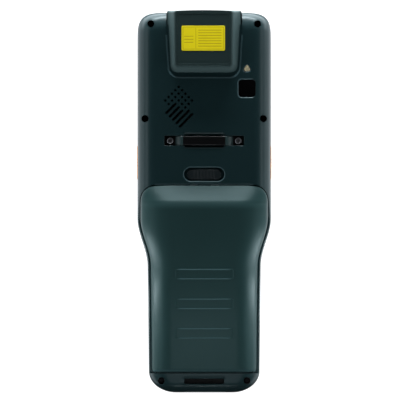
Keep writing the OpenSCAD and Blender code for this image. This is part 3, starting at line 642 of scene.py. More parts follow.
def set_painted_light(mesh, domain, values):
    """Writes the attribute that marks painted light on a mesh, one value for each point or face."""
    mesh.attributes.new("painted_light", "FLOAT", domain).data.foreach_set("value", values)


def highlight_leaning_faces(mesh, *rooms, most=0.99):
    """Paints light on the faces that lean and have their middle in one of the rooms: a painted
    highlight where those edges should catch the lamps. A room is a lowest and a highest corner in
    millimetres, and a face leans when the upright part of its normal is between 0.2 and most."""
    middles, normals = np.empty(len(mesh.polygons) * 3), np.empty(len(mesh.polygons) * 3)
    mesh.polygons.foreach_get("center", middles)
    mesh.polygons.foreach_get("normal", normals)
    middles, upright = middles.reshape(-1, 3) / MM, normals[2::3]
    inside = [np.all((middles > low) & (middles < high), axis=1) for low, high in rooms]
    set_painted_light(mesh, "FACE", (np.any(inside, axis=0) & (upright > 0.2) & (upright < most)).astype(float))


# Painted highlight: the lips of the recesses from the latch up to the hood get a lighter tone
lip_z = back_z - 0.9
highlight_leaning_faces(rear_mesh, ((-25.4, 8.4, lip_z), (25.4, 25, back_z)), ((-25.4, 38, lip_z), (25.4, 89.3, back_z)))
add_piece("rear_housing_skin", rear_mesh, shell_plastic, "terminal",
          ["rear_housing"], even=True)

# Painted shade: a black pad on the floor of the strap's slot makes the slot as dark as deep shade
slot_shade_pad = stack(at(rounded_rect(20.8, 2.7, 0.5), (0, slot_y)), [(13.5, 0), (14.2, 0), (14.4, -0.2)])
slot_shade_black = grained("slot_shade_black", (0.0015, 0.0016, 0.0018), (0.0022, 0.0023, 0.0026), 0.6, 0.4,
                      0.02, specular=0.1)
add_piece("slot_shade_pad", slot_shade_pad, slot_shade_black, "terminal")

# ---- Screws ----
# Six black pan-head screws sit at the bottom of deep holes and pull the shells together. Each is
# cold-headed steel with a cross recess and a rolled thread.

head_r, thread_r, pitch = 1.7, 1.0, 0.45


def pan_screw(x, y, seat, shank, head):
    """A screw with its head's underside at seat: a stack of discs whose radius follows the thread,
    the head's flat underside and a quarter round on top, with two crossed slots cut into it."""
    rounding, thread = 0.45, thread_r - head_r
    levels = [(seat - shank, thread - 0.25), (seat - shank + 0.3, thread)]
    levels += [(z + step, thread - groove) for z in np.arange(seat - shank + 0.6, seat - 0.5, pitch)
               for step, groove in ((0, 0), (0.2, 0.16))]
    levels += [(seat, thread), (seat, 0), (seat + head - rounding, 0)]
    levels += [(seat + head - rounding * (1 - math.sin(a)), -1.4 * rounding * (1 - math.cos(a)))
               for a in np.radians(np.arange(15, 91, 15))]
    top = seat + head
    slots = [cut(block((x - a, y - b, top - 0.75), (x + a, y + b, top + 1)))
             for a, b in ((1.05, 0.24), (0.24, 1.05))]
    return mesh_shape(carved("screw", moved(stack(disc(head_r), levels), x, y), *slots))


def turned_steel(name, colour, roughness):
    """Plated steel: fine turning marks as bump, with patches that are a little duller and darker."""
    material, tree, surface, place = shader(name, colour, roughness, 1)
    patches = noise(tree, place, 260)
    darker = tuple(0.75 * c for c in colour)
    feed(tree, surface, {"Base Color": blended(tree, patches, darker, colour),
                         "Roughness": between(tree, patches, roughness + 0.08, roughness - 0.05),
                         "Normal": bumped(tree, noise(tree, place, 5000), 0.004)})
    return material


black_steel = turned_steel("black_steel", (0.006, 0.006, 0.0065), 0.45)
add_piece("shell_screws", joined(*[pan_screw(*spot, screw_seat_z, 8.6, 1.4) for spot in screw_spots]),
          black_steel, "terminal", ["housing_screws"])

# ---- Battery cover ----
# The domed lid over the battery, in the shell's plastic with a slightly greener tone. It turns on
# two pins at its heel, and three low beads on its back give the palm a grip.

cover_wall, bead_r, bead_height, bead_hw = 1.8, 0.8, 0.2, 0.42
bead_half, bead_ys = (15.0, 2.45), (-38.2, -53.8, -69.3)
crest_y, hump_y = 0.5, -4.5
crest_z, crest_fall, grip_fall = 28.0, 7.1, 6.7


def cover_z(y):
    """Height of the cover along its middle: a slope, a rounded hump, a long fall and a round heel."""
    slope = crest_z - crest_fall * (y - crest_y) / (cover_top_y - crest_y)
    hump = hump_z - (hump_z - crest_z) * ((y - hump_y) / (crest_y - hump_y)) ** 2
    long_fall = hump_z - grip_fall * (np.maximum(0, hump_y - y) / (hump_y - hinge_y)) ** 1.6
    heel = hinge_z + np.sqrt(np.maximum(0, knuckle_r ** 2 - (y - hinge_y) ** 2))
    return np.select([y > crest_y, y > hump_y, y > hinge_y], [slope, hump, long_fall], heel)


def bead_rise(x, y):
    """Height of the grip beads: a smooth ridge along the outline of each rounded rectangle."""
    rise = np.zeros_like(x)
    for bead_y in bead_ys:
        qx = np.abs(x) - bead_half[0] + bead_r
        qy = np.abs(y - bead_y) - bead_half[1] + bead_r
        off = np.hypot(np.maximum(qx, 0), np.maximum(qy, 0)) + np.minimum(np.maximum(qx, qy), 0) - bead_r
        rise = np.maximum(rise, bead_height * smooth(1 - np.abs(off) / bead_hw))
    return rise


def cover_shoulder(y):
    """Width of the cover's side rounding: wide at the head, narrower along the grip."""
    return 11 + 7 * smooth((y + 45) / 35)


bead_lines = np.add.outer([y + s * bead_half[1] for y in bead_ys for s in (-1, 1)],
                          np.linspace(-0.5, 0.5, 9)).ravel()
cover_ys = places(hinge_y - knuckle_r * sines(6, 80), np.arange(-86, -72, 2), bead_lines,
                  np.arange(-72, grip_y, 1.5), np.arange(grip_y, -5, 1), np.arange(-5, 1, 0.25),
                  cover_top_y - cover_corner[1] * (1 - sines(4, 91)))
half_flat = np.concatenate([np.linspace(-0.52, 0.52, 9) + bead_half[0], np.arange(0.9, 14, 1.9)])
cover_half = cover_x(cover_ys)
cover_top = cover_z(cover_ys)
# The lower edge stands just over the tray, and the side rounding ends at a rim above it. The flat
# keeps room for the beads.
cover_low = tray_z + 0.3 + 0.4 * smooth((-70 - cover_ys) / 4)
cover_rim = 14.8 + 4.7 * smooth((cover_ys + 12) / 17)
cover_rings = arches(cover_ys, cover_half, cover_low, cover_top,
                     np.minimum(cover_shoulder(cover_ys), cover_half - 15.7),
                     np.minimum(11, cover_top - cover_rim), 20,
                     np.sort(np.concatenate([half_flat, -half_flat])))
cover_rings[..., 2] += bead_rise(cover_rings[..., 0], cover_rings[..., 1])
inner_ys = cover_ys[(cover_ys > -84.9) & (cover_ys < cover_top_y - cover_wall)]
inner_half = np.minimum(cover_x(inner_ys), cover_x(np.array(-1.0))) - cover_wall
inner_top = cover_z(inner_ys) - cover_wall
inner = loft(arches(inner_ys, inner_half, tray_z - 1, inner_top, cover_shoulder(inner_ys) - 1,
                    np.minimum(9.6, inner_top - 14.8), 12, 6))
cover_mesh = carved(
    "battery_cover_shell", loft(cover_rings), cut(inner),
    # The knuckle at the heel, bored for the pins and parted round the housing's ears
    cut(block((-25.6, hinge_y - 5, tray_z - 1), (25.6, hinge_y + 5, hinge_z - 2.1))),
    add(rod_x(knuckle_r - 0.3, -19, 19, hinge_y, hinge_z)),
    *[cut(rod_x(0.8, x - 4.2, x + 4.2, hinge_y, hinge_z)) for x in ear_xs],
    *[cut(block((x - 2.1, hinge_y - 4, hinge_z - 9), (x + 2.1, hinge_y + 5, hinge_z - 0.3)))
      for x in ear_xs],
    *[cut(rod_x(1.8, x - 2.1, x + 2.1, hinge_y, hinge_z)) for x in ear_xs],
    # Two catches for the latch's tongues
    *[cut(block((x - 3.9, 4, tray_z - 1), (x + 2.4, cover_top_y + 1, 17.4))) for x in tongue_xs],
    *[cut(block((x, 4, 14.7), (x + 3.9, cover_top_y + 1, 17.4))) for x in tongue_xs])
cover_plastic = grained("cover_plastic", (0.0100, 0.0240, 0.0238), (0.0114, 0.0270, 0.0268), 0.34,
                        specular=0.05, painted_light=(0.04, 0.075, 0.08), gloss=(0.72, 1, 1))
# Painted highlight on the long sides of the beads and the edge of the heel, in the lighter tone
cover_at_x, cover_at_y = mesh_shape(cover_mesh)[0][:, :2].T
lit_bead_sides = bead_rise(cover_at_x, cover_at_y) / bead_height * (np.abs(cover_at_x) < 14.4)
lit_heel_edge = 0.6 * np.maximum(0, 1 - np.abs(cover_at_y + 89.1))
set_painted_light(cover_mesh, "POINT", np.maximum(lit_bead_sides, lit_heel_edge))
add_piece("battery_cover_shell", cover_mesh, cover_plastic, "cover",
          ["battery_cover"], even=True)

# ---- Scan hood ----
# The raised cap over the imager, moulded in a greyer plastic: softly swept sides, a recessed top
# that carries the label, and a nose that closes the end of the terminal round a dark window.

hood_base = hood_foot + (0.4, 0, -0.4, 0, 0.4)
hood_top = np.array([14.5, 14.5, 71.4, 100.3, 1.6])
hood_lean, hood_low_z, hood_z, seat_z = -0.5, 19.7, 27.5, 27.3


def hood_ring(t):
    """The hood's outline a share t of the way from its foot to its flat top. Its height rises as a
    smooth step, so the side is hollow at the foot and round at the top."""
    ring = hood_outline(hood_base + (hood_top - hood_base) * t)
    return level(ring + (hood_lean * t, 0), hood_low_z + (hood_z - hood_low_z) * smooth(t))


nose = hood_ring(0)[:, :2]
nose = nose[nose[:, 1] > 92.9]
hood_mesh = carved(
    "scan_hood_shell", loft(np.array([hood_ring(t) for t in np.linspace(0, 1, 15)])),
    add(stack(nose, [(9.3, 0), (20, 0)])),
    # The imager's room, then the window's opening and seat
    cut(block((-13.2, 72.2, 15), (12.6, 95.8, 25.7))),
    cut(block((-17.6, 90, 11.3), (17.6, 98.2, 20.8))),
    cut(block((-14.5, 95, 12.6), (14.5, 110, 20.8))),
    cut(block((-15.7, 95, 11.8), (15.7, 99.2, 21.6))),
    # The label's recess
    cut(lipped(at(rounded_rect(27.4, 26.2, 1.2), (hood_lean, 85.3)), seat_z, hood_z, 0.15)))
hood_plastic = grained("hood_plastic", (0.0130, 0.0215, 0.0211), (0.0145, 0.0240, 0.0236), 0.34,
                       specular=0.05, painted_light=(0.028, 0.044, 0.044), gloss=(0.6, 1, 1))
# Painted light: the hood's sides turn to the lighter tone lower down, as if lit, and its top stays dark
hood_heights = mesh_shape(hood_mesh)[0][:, 2]
set_painted_light(hood_mesh, "POINT", smooth((hood_z - 0.25 - hood_heights) / 1.5))
add_piece("scan_hood_shell", hood_mesh, hood_plastic, "terminal", ["scan_hood"],
          even=True)

# ---- Label ----
# A blank yellow sticker of matt film in the hood's recess. A thin frame, one upright rule and
# some writing rules are printed on it, and nothing else.

label_half = (11.4, 6.55)
frame_in, divider_x, line_hw, rule_hw = 0.75, -3.9, 0.1, 0.16
label_x, label_y = middle("hood_label")[:2]


def maths(tree, kind, *values):
    """One step of arithmetic on numbers or on other nodes' outputs."""
    return new_node(tree, "Math", dict(enumerate(values)), operation=kind).outputs["Value"]


def printed_label():
    """Yellow film. Each rule is a thin band of y or x, and the frame is a band of the distance to
    the sticker's edge; where a band is present the yellow turns to a browner yellow."""
    material, tree, surface, place = shader("label_film", (0.6, 0.48, 0.005), 0.45)

    def step(kind, *values):
        """One step of arithmetic in the label's tree."""
        return maths(tree, kind, *values)

    split = new_node(tree, "SeparateXYZ", {"Vector": place}).outputs
    x = step("SUBTRACT", split["X"], label_x * MM)
    y = step("SUBTRACT", split["Y"], label_y * MM)

    def band(value, where, half):
        """1 within half of where, else 0."""
        return step("LESS_THAN", step("ABSOLUTE", step("SUBTRACT", value, where * MM)), half * MM)

    def column(low, high):
        """1 where x lies between low and high, else 0."""
        return step("MULTIPLY", step("GREATER_THAN", x, low * MM), step("LESS_THAN", x, high * MM))

    along = step("ABSOLUTE", y)
    edge = step("MAXIMUM", step("SUBTRACT", step("ABSOLUTE", x), label_half[0] * MM),
                step("SUBTRACT", along, label_half[1] * MM))
    divider = step("MULTIPLY", band(x, divider_x, line_hw), step("LESS_THAN", along, 5.4 * MM))
    marks = step("MAXIMUM", band(edge, -frame_in, line_hw), divider)
    for (low, high), rules in (((-2.6, 9.6), (4.2, 2.8, 1.4, 0.0, -1.4, -2.8, -4.2)),
                               ((-10.0, -5.2), (1.0, -0.6, -2.2))):
        field = column(low, high)
        for rule_y in rules:
            marks = step("MAXIMUM", marks, step("MULTIPLY", band(y, rule_y, rule_hw), field))
    film = blended(tree, noise(tree, place, 350), (0.58, 0.47, 0.004), (0.64, 0.52, 0.005))
    feed(tree, surface, {"Base Color": blended(tree, marks, film, (0.3, 0.21, 0.006)),
                         "Specular IOR Level": 0.2})
    return material


label_shape = stack(at(rounded_rect(2 * label_half[0], 2 * label_half[1], 0.8), (label_x, label_y)),
                    [(seat_z, 0), (seat_z + 0.12, 0), (seat_z + 0.15, -0.03)])
add_piece("label_sticker", label_shape, printed_label(), "terminal", ["hood_label"])

# ---- Windows ----
# Three parts glued into their seats: the dark red acrylic window in front of the imager, the
# black glass over the camera, and the cream moulded dome over the flash light.


def tinted_glass(name, colour, roughness):
    """Hard glossy glass or acrylic over a dark ground, with faint wiping marks in its roughness."""
    material, tree, surface, place = shader(name, colour, roughness)
    wiped = between(tree, noise(tree, place, 120, detail=4), roughness * 0.7, roughness * 1.5)
    feed(tree, surface, {"Roughness": wiped})
    return material


scan_pane = stack(rounded_rect(9.4, 31.0, 0.6), [(98.3, 0), (99.05, 0), (99.15, -0.1)])
add_piece("scan_pane", moved(turned(scan_pane, 2), 0, 0, 16.7),
          tinted_glass("scan_glass", (0.014, 0.0008, 0.0012), 0.08), "terminal",
          ["scan_window"])
camera_glass = stack(at(rounded_rect(8.6, 8.8, 1.5), camera_spot),
                     [(19.6, 0), (20.15, 0), (20.27, -0.05), (20.3, -0.15)])
add_piece("camera_glass", camera_glass, tinted_glass("black_glass", (0.0012, 0.0012, 0.0014), 0.05),
          "terminal", ["camera_window"])
dome_low, dome_rise, dome_in = 19.6, 0.8, 0.9
flash_levels = [(18.8, 0), (dome_low, 0)]
flash_levels += [(dome_low + dome_rise * math.sin(a), -dome_in * (1 - math.cos(a)))
                 for a in np.radians([25, 50, 70, 90])]
flash_dome = loft(np.array([level(at(flash_outline(d), flash_spot), z) for z, d in flash_levels]))
add_piece("flash_dome", flash_dome, tinted_glass("flash_cream", (0.3, 0.26, 0.16), 0.25), "terminal",
          ["flash_lens"])

# ---- Strap bracket ----
# A strip of black-coated spring steel, bent so that its middle stands clear as the bar that a
# hand strap loops round. Two plain steel screws hold its flat ends down in the channel.

strip_hw, strip_thick, strip_edge_r = 2.4, 1.2, 0.35
strip_low, strip_high, strip_screw_xs = 18.5, 20.6, (-17.9, 17.9)
strip_ends = [(20.7, strip_low), (15.1, strip_low), (10.9, strip_high)]
strip_corners = np.array([(-x, z) for x, z in strip_ends] + strip_ends[::-1])


def softened(path):
    """A path with its corners cut three times, a fifth of the way along each side."""
    for _ in range(3):
        near, far = path[:-1], path[1:]
        cuts = np.stack([0.8 * near + 0.2 * far, 0.2 * near + 0.8 * far], axis=1).reshape(-1, 2)
        path = np.concatenate([path[:1], cuts[1:-1], path[-1:]])
    return path


def strip_along(path):
    """The strip along a path of x and z: at each point its section, a rounded rectangle, stands
    square to the path."""
    tangent = np.gradient(path, axis=0)
    tangent /= np.linalg.norm(tangent, axis=1, keepdims=True)
    upward = np.column_stack([-tangent[:, 1], tangent[:, 0]])
    section = rounded_rect(2 * strip_hw, strip_thick, strip_edge_r)
    x = path[:, :1] + upward[:, :1] * section[:, 1]
    z = path[:, 1:] + upward[:, 1:] * section[:, 1]
    return loft(np.stack([x, np.broadcast_to(strap_y + section[:, 0], x.shape), z], axis=-1))


strip_mesh = carved("strap_strip", strip_along(softened(strip_corners)),
                    *[cut(peg(1.1, 17, 22, x, strap_y)) for x in strip_screw_xs])
# Painted highlight on the two ramps, a lighter tone where their slopes should catch the light
highlight_leaning_faces(strip_mesh, ((-15.3, strap_y - 3, 18), (-10.7, strap_y + 3, 22)),
         ((10.7, strap_y - 3, 18), (15.3, strap_y + 3, 22)), most=1.1)
black_coat = grained("black_coat", (0.0012, 0.0012, 0.0014), (0.002, 0.002, 0.0022), 0.3, 0.12, 0.003,
                     specular=0.3, painted_light=(0.014, 0.028, 0.028))
add_piece("strap_strip", strip_mesh, black_coat, "terminal", ["strap_bracket"])
grey_steel = turned_steel("grey_steel", (0.13, 0.13, 0.135), 0.42)
strap_screws = [pan_screw(x, strap_y, strip_low + strip_thick / 2, 3.6, 1.0) for x in strip_screw_xs]
add_piece("strap_screw_pair", joined(*strap_screws), grey_steel, "terminal",
          ["strap_screws"])

# ---- Latch ----
# The slider that locks the battery cover: a black acetal grip with raised ribs, on a steel plate
# whose two tongues reach over catches in the cover.

slider_low, slider_high, slider_half, slider_hw = 18.85, 20.25, 8.95, 2.6
rib_step, rib_hw, rib_rise = 1.7, 0.42, 0.15
# Sections along the slider stand closer towards its round tips and on its ribs
slider_tip = slider_half - slider_hw + slider_hw * np.sin(np.radians([0, 15, 30, 45, 60, 72, 82, 88]))
slider_xs = places(slider_tip, -slider_tip,
                   np.add.outer(rib_step * np.arange(-3, 4), np.linspace(-rib_hw, rib_hw, 9)).ravel())
past_straight = np.maximum(0, np.abs(slider_xs) - (slider_half - slider_hw))
slider_width = np.sqrt(slider_hw ** 2 - past_straight ** 2)
to_rib = np.abs(slider_xs - rib_step * np.round(slider_xs / rib_step))
ribs = rib_rise * smooth(1 - to_rib / rib_hw) * (np.abs(slider_xs) < 6)
slider_edge = np.minimum(0.45, 0.8 * slider_width)
slider_rings = arches(slider_xs, slider_width, slider_low, slider_high + ribs, slider_edge,
                      slider_edge, 8, 10)
slider_mesh = carved("latch_slider", loft(slider_rings[::-1, :, [1, 0, 2]]),
                     add(block((-4, -1.2, 16.9), (4, 1.2, 19))))
black_acetal = grained("black_acetal", (0.003, 0.0055, 0.0062), (0.004, 0.007, 0.008), 0.42, 0.1, 0.002,
                       specular=0.2)
add_piece("latch_slider", moved(mesh_shape(slider_mesh), 0, latch_y), black_acetal, "latch",
          ["battery_latch"])

# ---- Side triggers ----
# Orange scan buttons, one in each side of the head. Each is a smooth moulded cap with three grip
# ridges, and a lip behind the wall stops it from falling out.

trigger_y, trigger_z = middle("trigger_right")[1:]
trigger_orange = grained("trigger_orange", (0.50, 0.17, 0.02), (0.58, 0.21, 0.028), 0.42, 0.15, 0.003)


def trigger_cap(side):
    """A pill-shaped cap whose outer edge is a quarter round; side is 1 on the right, -1 on the left."""
    levels = [(31.9, 0)] + [(34.5 + 0.75 * math.sin(a), -(1 - math.cos(a)))
                            for a in np.radians(np.arange(0, 91, 15))]
    ridge_levels = [(34.9, 0), (35.32, 0), (35.4, -0.1)]
    cap, ridge = [turned(stack(outline, sorted((side * x, d) for x, d in rows)))
                  for outline, rows in ((rounded_rect(18.2, 4.2, 2.0, 10), levels),
                                        (rounded_rect(0.5, 2.6, 0.24, 5), ridge_levels))]
    lip = block(*sorted([(side * 31.6, -10.1, -2.3), (side * 32.4, 10.1, 2.3)]))
    return moved(joined(cap, lip, *[moved(ridge, 0, y) for y in (-1.6, 0, 1.6)]), 0, trigger_y, trigger_z)


for side_name, s in (("left", -1), ("right", 1)):
    add_piece("trigger_cap_" + side_name, trigger_cap(s), trigger_orange, side_name + "_trigger",
              ["trigger_" + side_name])

# ---- Front housing ----
# The shell round the screen and the keys, moulded in the same plastic. Its rounded rim keeps the
# glass off the table, and its side walls hold the triggers and the socket's cover.

rim_in, rim_high, plate_z = 2.2, 3.0, 3.1
window_y, well_y, glass_gap, key_gap = 43.3, -52.0, 0.2, 0.25
glass_width, glass_length, glass_r = 60.8, 97.8, 4.0
cap_width, cap_length, cap_r = 12.8, 7.6, 2.0
key_xs, key_ys = (-15.5, 0, 15.5), [-19 - 11 * row for row in range(7)]
flap_hinge_y, flap_low, flap_high = -99.7, 3.75, 8.1
board_posts = [(x, y) for x in (-23.9, 23.9) for y in (-24.5, -57.5, -79.5)]
glass_seat = rounded_rect(glass_width + 2 * glass_gap, glass_length + 2 * glass_gap, glass_r + glass_gap)
key_opening = rounded_rect(cap_width + 2 * key_gap, cap_length + 2 * key_gap, cap_r + key_gap)
front_levels = [(rim_high * (1 - math.cos(a)), rim_in * (1 - math.sin(a)))
                for a in np.radians(np.arange(0, 91, 9))]
front_outside = loft(np.array([level(body_outline(d), z) for z, d in front_levels + [(seam_z, 0)]]))
gasket_groove = mesh_shape(carved("groove", stack(body_outline(0.8), [(8.2, 0), (10, 0)]),
                                  cut(stack(body_outline(1.6), [(8, 0), (11, 0)]))))
front_mesh = carved(
    "front_housing_skin", front_outside,
    cut(stack(body_outline(shell_wall), [(plate_z, 0), (10, 0)])),
    add(*[peg(2.4, 2.9, seam_z, *spot) for spot in screw_spots]),
    add(*[peg(1.0, 2.9, 5.3, *spot, count=24) for spot in board_posts]),
    cut(gasket_groove),
    # The screen's seat and opening, the keypad's well and the keys' openings
    cut(lipped(at(glass_seat, (0, window_y)), 1.7, 0, 0.25, -1)),
    cut(stack(at(rounded_rect(56.2, 93.6, 1), (0, window_y)), [(0, 0), (4, 0)])),
    cut(lipped(at(rounded_rect(49, 77.6, 4), (0, well_y)), 1.6, 0, 0.6, -1)),
    cut(*[lipped(at(key_opening, (x, y)), 4, 1.6, 0.15, -1) for x in key_xs for y in key_ys]),
    # Screw bores, earpiece, microphone and trigger openings
    cut(*[peg(1.05, 4, 10, *spot) for spot in screw_spots]),
    cut(lipped(at(stadium(12, 1.3), (0, 94.6)), 4, 0, 0.3, -1)),
    cut(lipped(at(disc(0.6, 24), (12, -94.5)), 4, 0, 0.2, -1)),
    cut(*[block((x - 4, trigger_y - 9.4, 3.2), (x + 4, trigger_y + 9.4, 8))
          for x in (-head_half, head_half)]),
    # The socket's opening, and the recess and pivots of its cover
    cut(block((-8, -101.4, 3), (8, -99, 8.4))),
    cut(rod_x(0.45, -9, 9, flap_hinge_y, flap_low)),
    cut(moved(turned(stack(rounded_rect(3.6, 9.3, 1.799), [(y, 0) for y in wall_ys]), 2), 0, 0, 6)))
add_piece("front_housing_skin", front_mesh, shell_plastic, "terminal",
          ["front_housing"], even=True)

# ---- Screen ----
# A sheet of hardened glass, printed black round its edge, lies in the front's seat. Behind it the
# dark panel shows through as a slightly lighter rectangle.

panel_half = (26.2, 43.6)


def screen_glass():
    """Black print, and dark blue-grey where both |x| and |y - middle| are inside the panel."""
    black = (0.002, 0.002, 0.0025)
    material, tree, surface, place = shader("screen_glass", black, 0.06)
    centred = new_node(tree, "Mapping", {"Vector": place, "Location": (0, -window_y * MM, 0)})
    split = new_node(tree, "SeparateXYZ", {"Vector": centred.outputs["Vector"]}).outputs
    inside = [maths(tree, "LESS_THAN", maths(tree, "ABSOLUTE", split[axis]), half * MM)
              for axis, half in zip("XY", panel_half)]
    panel = maths(tree, "MULTIPLY", *inside)
    feed(tree, surface, {"Base Color": blended(tree, panel, black, (0.012, 0.015, 0.02)),
                         "Roughness": between(tree, noise(tree, place, 40), 0.04, 0.1)})
    return material


screen_sheet = stack(at(rounded_rect(glass_width, glass_length, glass_r), (0, window_y)),
                     [(0.6, -0.3), (0.66, -0.12), (0.78, 0), (1.7, 0)])
add_piece("screen_sheet", screen_sheet, screen_glass(), "terminal", ["display_window"])

# ---- Keys ----
# Twenty-one hard moulded caps over a sheet of snap domes, each with a crowned face and a printed
# mark: plain digits, arrows and simple signs. The scan key amid the arrows is orange.

cap_face, cap_edge, crown_in = 0.4, 0.95, 1.6
key_grey = grained("key_grey", (0.028, 0.034, 0.038), (0.036, 0.042, 0.046), 0.5, 0.12, 0.003)
key_orange = grained("key_orange", (0.50, 0.17, 0.02), (0.58, 0.21, 0.028), 0.42, 0.15, 0.003)
mark_print = grained("mark_print", (0.72, 0.72, 0.7), (0.8, 0.8, 0.78), 0.55, 0.2, 0.001)


def key_cap(x, y):
    """A cap with a flat middle and an elliptic edge, its lip below the plate, and its plunger."""
    levels = [(cap_face + (cap_edge - cap_face) * (1 - math.cos(a)), -crown_in * (1 - math.sin(a)))
              for a in np.radians(np.arange(0, 91, 10))]
    cap = stack(rounded_rect(cap_width, cap_length, cap_r), levels + [(3.3, 0), (3.3, 0.5), (3.9, 0.5)])
    return moved(joined(cap, peg(1.2, 3.8, 4.15, count=24)), x, y)


def flat_mark(outline):
    """A mark of unit thickness from its outline."""
    return stack(np.asarray(outline, float), [(0, 0), (1, 0)])


def bar(x0, y0, x1, y1, width=0.5):
    """A flat bar of some width from one point to another."""
    run = np.array([x1 - x0, y1 - y0])
    side = np.array([-run[1], run[0]]) * width / 2 / np.linalg.norm(run)
    start, end = np.array([x0, y0]), np.array([x1, y1])
    return flat_mark([start - side, end - side, end + side, start + side])


def arrow(turn_by):
    """A triangle that points up, turned anticlockwise by some degrees."""
    return flat_mark(spun(np.array([(-1.5, -1.0), (1.5, -1.0), (0, 1.4)]), math.radians(turn_by)))


def digit(number):
    """The outline of a digit in the plain built-in face, as a flat mesh of unit thickness."""
    curve = bpy.data.curves.new("digit", "FONT")
    curve.body = number
    curve.size = 4.6
    curve.extrude = 0.5
    curve.align_x = curve.align_y = "CENTER"
    thing = bpy.data.objects.new("digit", curve)
    bpy.context.scene.collection.objects.link(thing)
    bpy.context.view_layer.update()
    mesh = bpy.data.meshes.new_from_object(thing.evaluated_get(bpy.context.evaluated_depsgraph_get()))
    points, faces = mesh_shape(mesh)
    bpy.data.objects.remove(thing)
    bpy.data.meshes.remove(mesh)
    return points * MM + (0, 0, 0.5), faces


arc_turn = np.radians(np.arange(-60, 241, 15))
power_ring = -np.column_stack([np.sin(arc_turn), np.cos(arc_turn)])
scan_bars = ((-3.0, 0.5), (-2.1, 0.25), (-1.4, 0.6), (-0.4, 0.25), (0.3, 0.5), (1.2, 0.25),
             (1.9, 0.25), (2.8, 0.55))
signs = {
    "menu": joined(*[bar(-1.9, y, 1.9, y, 0.45) for y in (-1.2, 0, 1.2)]),
    "up": arrow(0), "down": arrow(180), "left": arrow(90), "right": arrow(-90),
    "back": joined(moved(arrow(90), -1.4), bar(-0.6, 0, 2.6, 0, 0.55)),
    "scan": joined(*[bar(x, -1.5, x, 1.5, width) for x, width in scan_bars]),
    "power": joined(bar(0, 0.1, 0, 1.9, 0.45),
                    flat_mark(np.concatenate([1.55 * power_ring[::-1], 1.1 * power_ring]))),
    "enter": joined(moved(arrow(90), -1.6, -0.5), bar(-0.8, -0.5, 2.4, -0.5), bar(2.2, -0.5, 2.2, 1.6)),
    "point": flat_mark(disc(0.45, 20)),
    "clear": joined(bar(-1.3, -1.3, 1.3, 1.3), bar(-1.3, 1.3, 1.3, -1.3)),
}
key_rows = ("menu up back", "left scan right", "power down enter", "1 2 3", "4 5 6", "7 8 9",
            "point 0 clear")
mark_low, mark_thick = cap_face + 0.03, 0.06
for row, y in zip(key_rows, key_ys):
    for key, x in zip(row.split(), key_xs):
        plastic, slot = (key_orange, "key_orange") if key == "scan" else (key_grey, "key_plastic")
        node = "key_" + key
        add_piece("cap_" + key, key_cap(x, y), plastic, node + "_body", [node])
        points, faces = signs[key] if key in signs else digit(key)
        face_down = points * (-1, 1, -mark_thick) + (x, y, mark_low)
        add_piece("mark_" + key, (face_down, faces), mark_print, node + "_body")

# ---- Port cover ----
# A rubber flap over the USB socket, moulded with its own pivots. It snaps into the front
# housing's recess and folds down on them.

black_rubber = grained("black_rubber", (0.008, 0.009, 0.0095), (0.012, 0.013, 0.0135), 0.72, 0.25, 0.004)
flap_levels = [(-100.3, -0.4), (-100.24, -0.18), (-100.1, -0.04), (-99.95, 0), (-99.1, 0)]
flap = stack(rounded_rect(flap_high - flap_low, 15.4, 0.6), flap_levels)
flap_mesh = carved("socket_flap", moved(turned(flap, 2), 0, 0, (flap_low + flap_high) / 2),
                   add(rod_x(0.6, -7.7, 7.7, flap_hinge_y, flap_low)),
                   add(rod_x(0.4, -8.6, 8.6, flap_hinge_y, flap_low)),
                   cut(block((-2.5, -100.6, 7.5), (2.5, -99.9, 9))))
add_piece("socket_flap", flap_mesh, black_rubber, "port_flap", ["port_cover"])

# ---- Battery ----
# The lithium pack in its bay: a grey moulded case, recessed for a pale blank sticker, with a
# notch for the spring contacts at its head end.

pack_low, pack_high, sticker_z, sticker_y = 10.8, 21.0, 20.85, -42
pack_levels = [(pack_low, -0.5), (pack_low + 0.5, 0), (pack_high - 1, 0)]
pack_levels += [(pack_high - 1 + math.sin(a), -(1 - math.cos(a)))
                for a in np.radians(np.arange(15, 91, 15))]
pack_mesh = carved("battery_case", stack(at(rounded_rect(43.6, 76.8, 3.0), (0, -40.6)), pack_levels),
                   cut(stack(at(rounded_rect(34, 60, 1.5), (0, sticker_y)), [(sticker_z, 0), (22, 0)])),
                   cut(block((-12, -3.2, 14), (12, -2, 16))))
pack_plastic = grained("pack_plastic", (0.04, 0.045, 0.05), (0.052, 0.058, 0.063), 0.5)
add_piece("battery_case", pack_mesh, pack_plastic, "terminal", ["battery_pack"])
pack_sticker = grained("pack_sticker", (0.5, 0.51, 0.5), (0.56, 0.56, 0.55), 0.5, 0.3, 0.001)
sticker = stack(at(rounded_rect(33, 59, 1.2), (0, sticker_y)),
                [(sticker_z, 0), (sticker_z + 0.08, 0), (sticker_z + 0.1, -0.02)])
add_piece("battery_sticker", sticker, pack_sticker, "terminal")

# ---- Inner parts ----
# What the shells enclose: boards, frame, imager, camera, speaker, motor and sockets, and the
# seals and pins at their joints. Their solids stay as they are and get their finishes here.


def dress(material, *names):
    """Put a material on every slot of the named solids."""
    for name in names:
        for spot in frame["nodes"][name].material_slots:
            spot.material = material


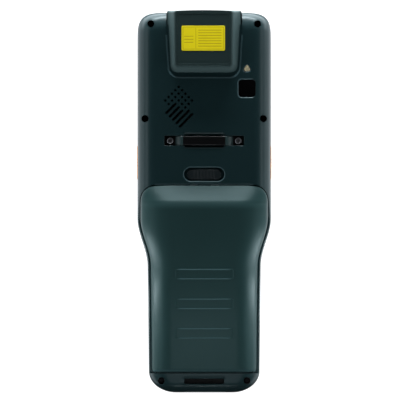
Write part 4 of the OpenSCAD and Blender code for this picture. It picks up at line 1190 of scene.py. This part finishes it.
def board_material():
    """Green solder mask over copper: a fine maze of tracks from the edges of stretched cells."""
    material, tree, surface, place = shader("green_board", (0.01, 0.09, 0.04), 0.4)
    cells = new_node(tree, "TexVoronoi", {"Vector": place, "Scale": 420}, feature="DISTANCE_TO_EDGE")
    edge = cells.outputs["Distance"]
    off_track = new_node(tree, "MapRange", {"Value": edge, "From Min": 0.06, "From Max": 0.1})
    mask = blended(tree, off_track.outputs["Result"], (0.03, 0.2, 0.07), (0.008, 0.075, 0.032))
    feed(tree, surface, {"Base Color": mask, "Normal": bumped(tree, edge, 0.02, invert=True)})
    return material


def woven_mesh():
    """Black acoustic cloth: two crossed waves of fine threads as bump and as lighter crowns."""
    material, tree, surface, place = shader("woven_mesh", (0.006, 0.006, 0.006), 0.8)
    waves = [new_node(tree, "TexWave", {"Vector": place, "Scale": 700}, bands_direction=axis)
             for axis in "XY"]
    threads = maths(tree, "MAXIMUM", *[wave.outputs["Fac"] for wave in waves])
    cloth = blended(tree, threads, (0.002, 0.002, 0.002), (0.012, 0.012, 0.013))
    feed(tree, surface, {"Base Color": cloth, "Normal": bumped(tree, threads, 0.05)})
    return material


green_board = board_material()
black_module = grained("black_module", (0.008, 0.0085, 0.009), (0.013, 0.0135, 0.014), 0.5, 0.15, 0.003)
tinned_metal = turned_steel("tinned_metal", (0.55, 0.56, 0.57), 0.3)
cast_metal = turned_steel("cast_metal", (0.38, 0.39, 0.4), 0.5)
bright_steel = turned_steel("bright_steel", (0.42, 0.42, 0.43), 0.36)
gold_plate = turned_steel("gold_plate", (0.75, 0.52, 0.2), 0.28)
dress(green_board, "main_board", "keypad_board")
dress(black_module, "scan_engine", "camera_module", "speaker", "receiver", "battery_connector")
dress(tinned_metal, "shield_cans", "usb_port", "card_reader")
dress(cast_metal, "mid_frame", "scan_engine_bracket", "latch_plate")
dress(gold_plate, "dock_contacts")
dress(bright_steel, "cover_hinge_pins", "vibration_motor")
dress(black_rubber, "shell_gasket", "cover_seal")
dress(woven_mesh(), "speaker_mesh")
dress(grained("film_grey", (0.3, 0.31, 0.32), (0.38, 0.39, 0.4), 0.35, 0.5, 0.002), "dome_sheet")
dress(grained("panel_grey", (0.02, 0.022, 0.026), (0.03, 0.032, 0.036), 0.4, 0.4, 0.002), "display_module")
dress(grained("switch_white", (0.5, 0.5, 0.48), (0.58, 0.58, 0.56), 0.5, 0.2, 0.002), "trigger_switches")
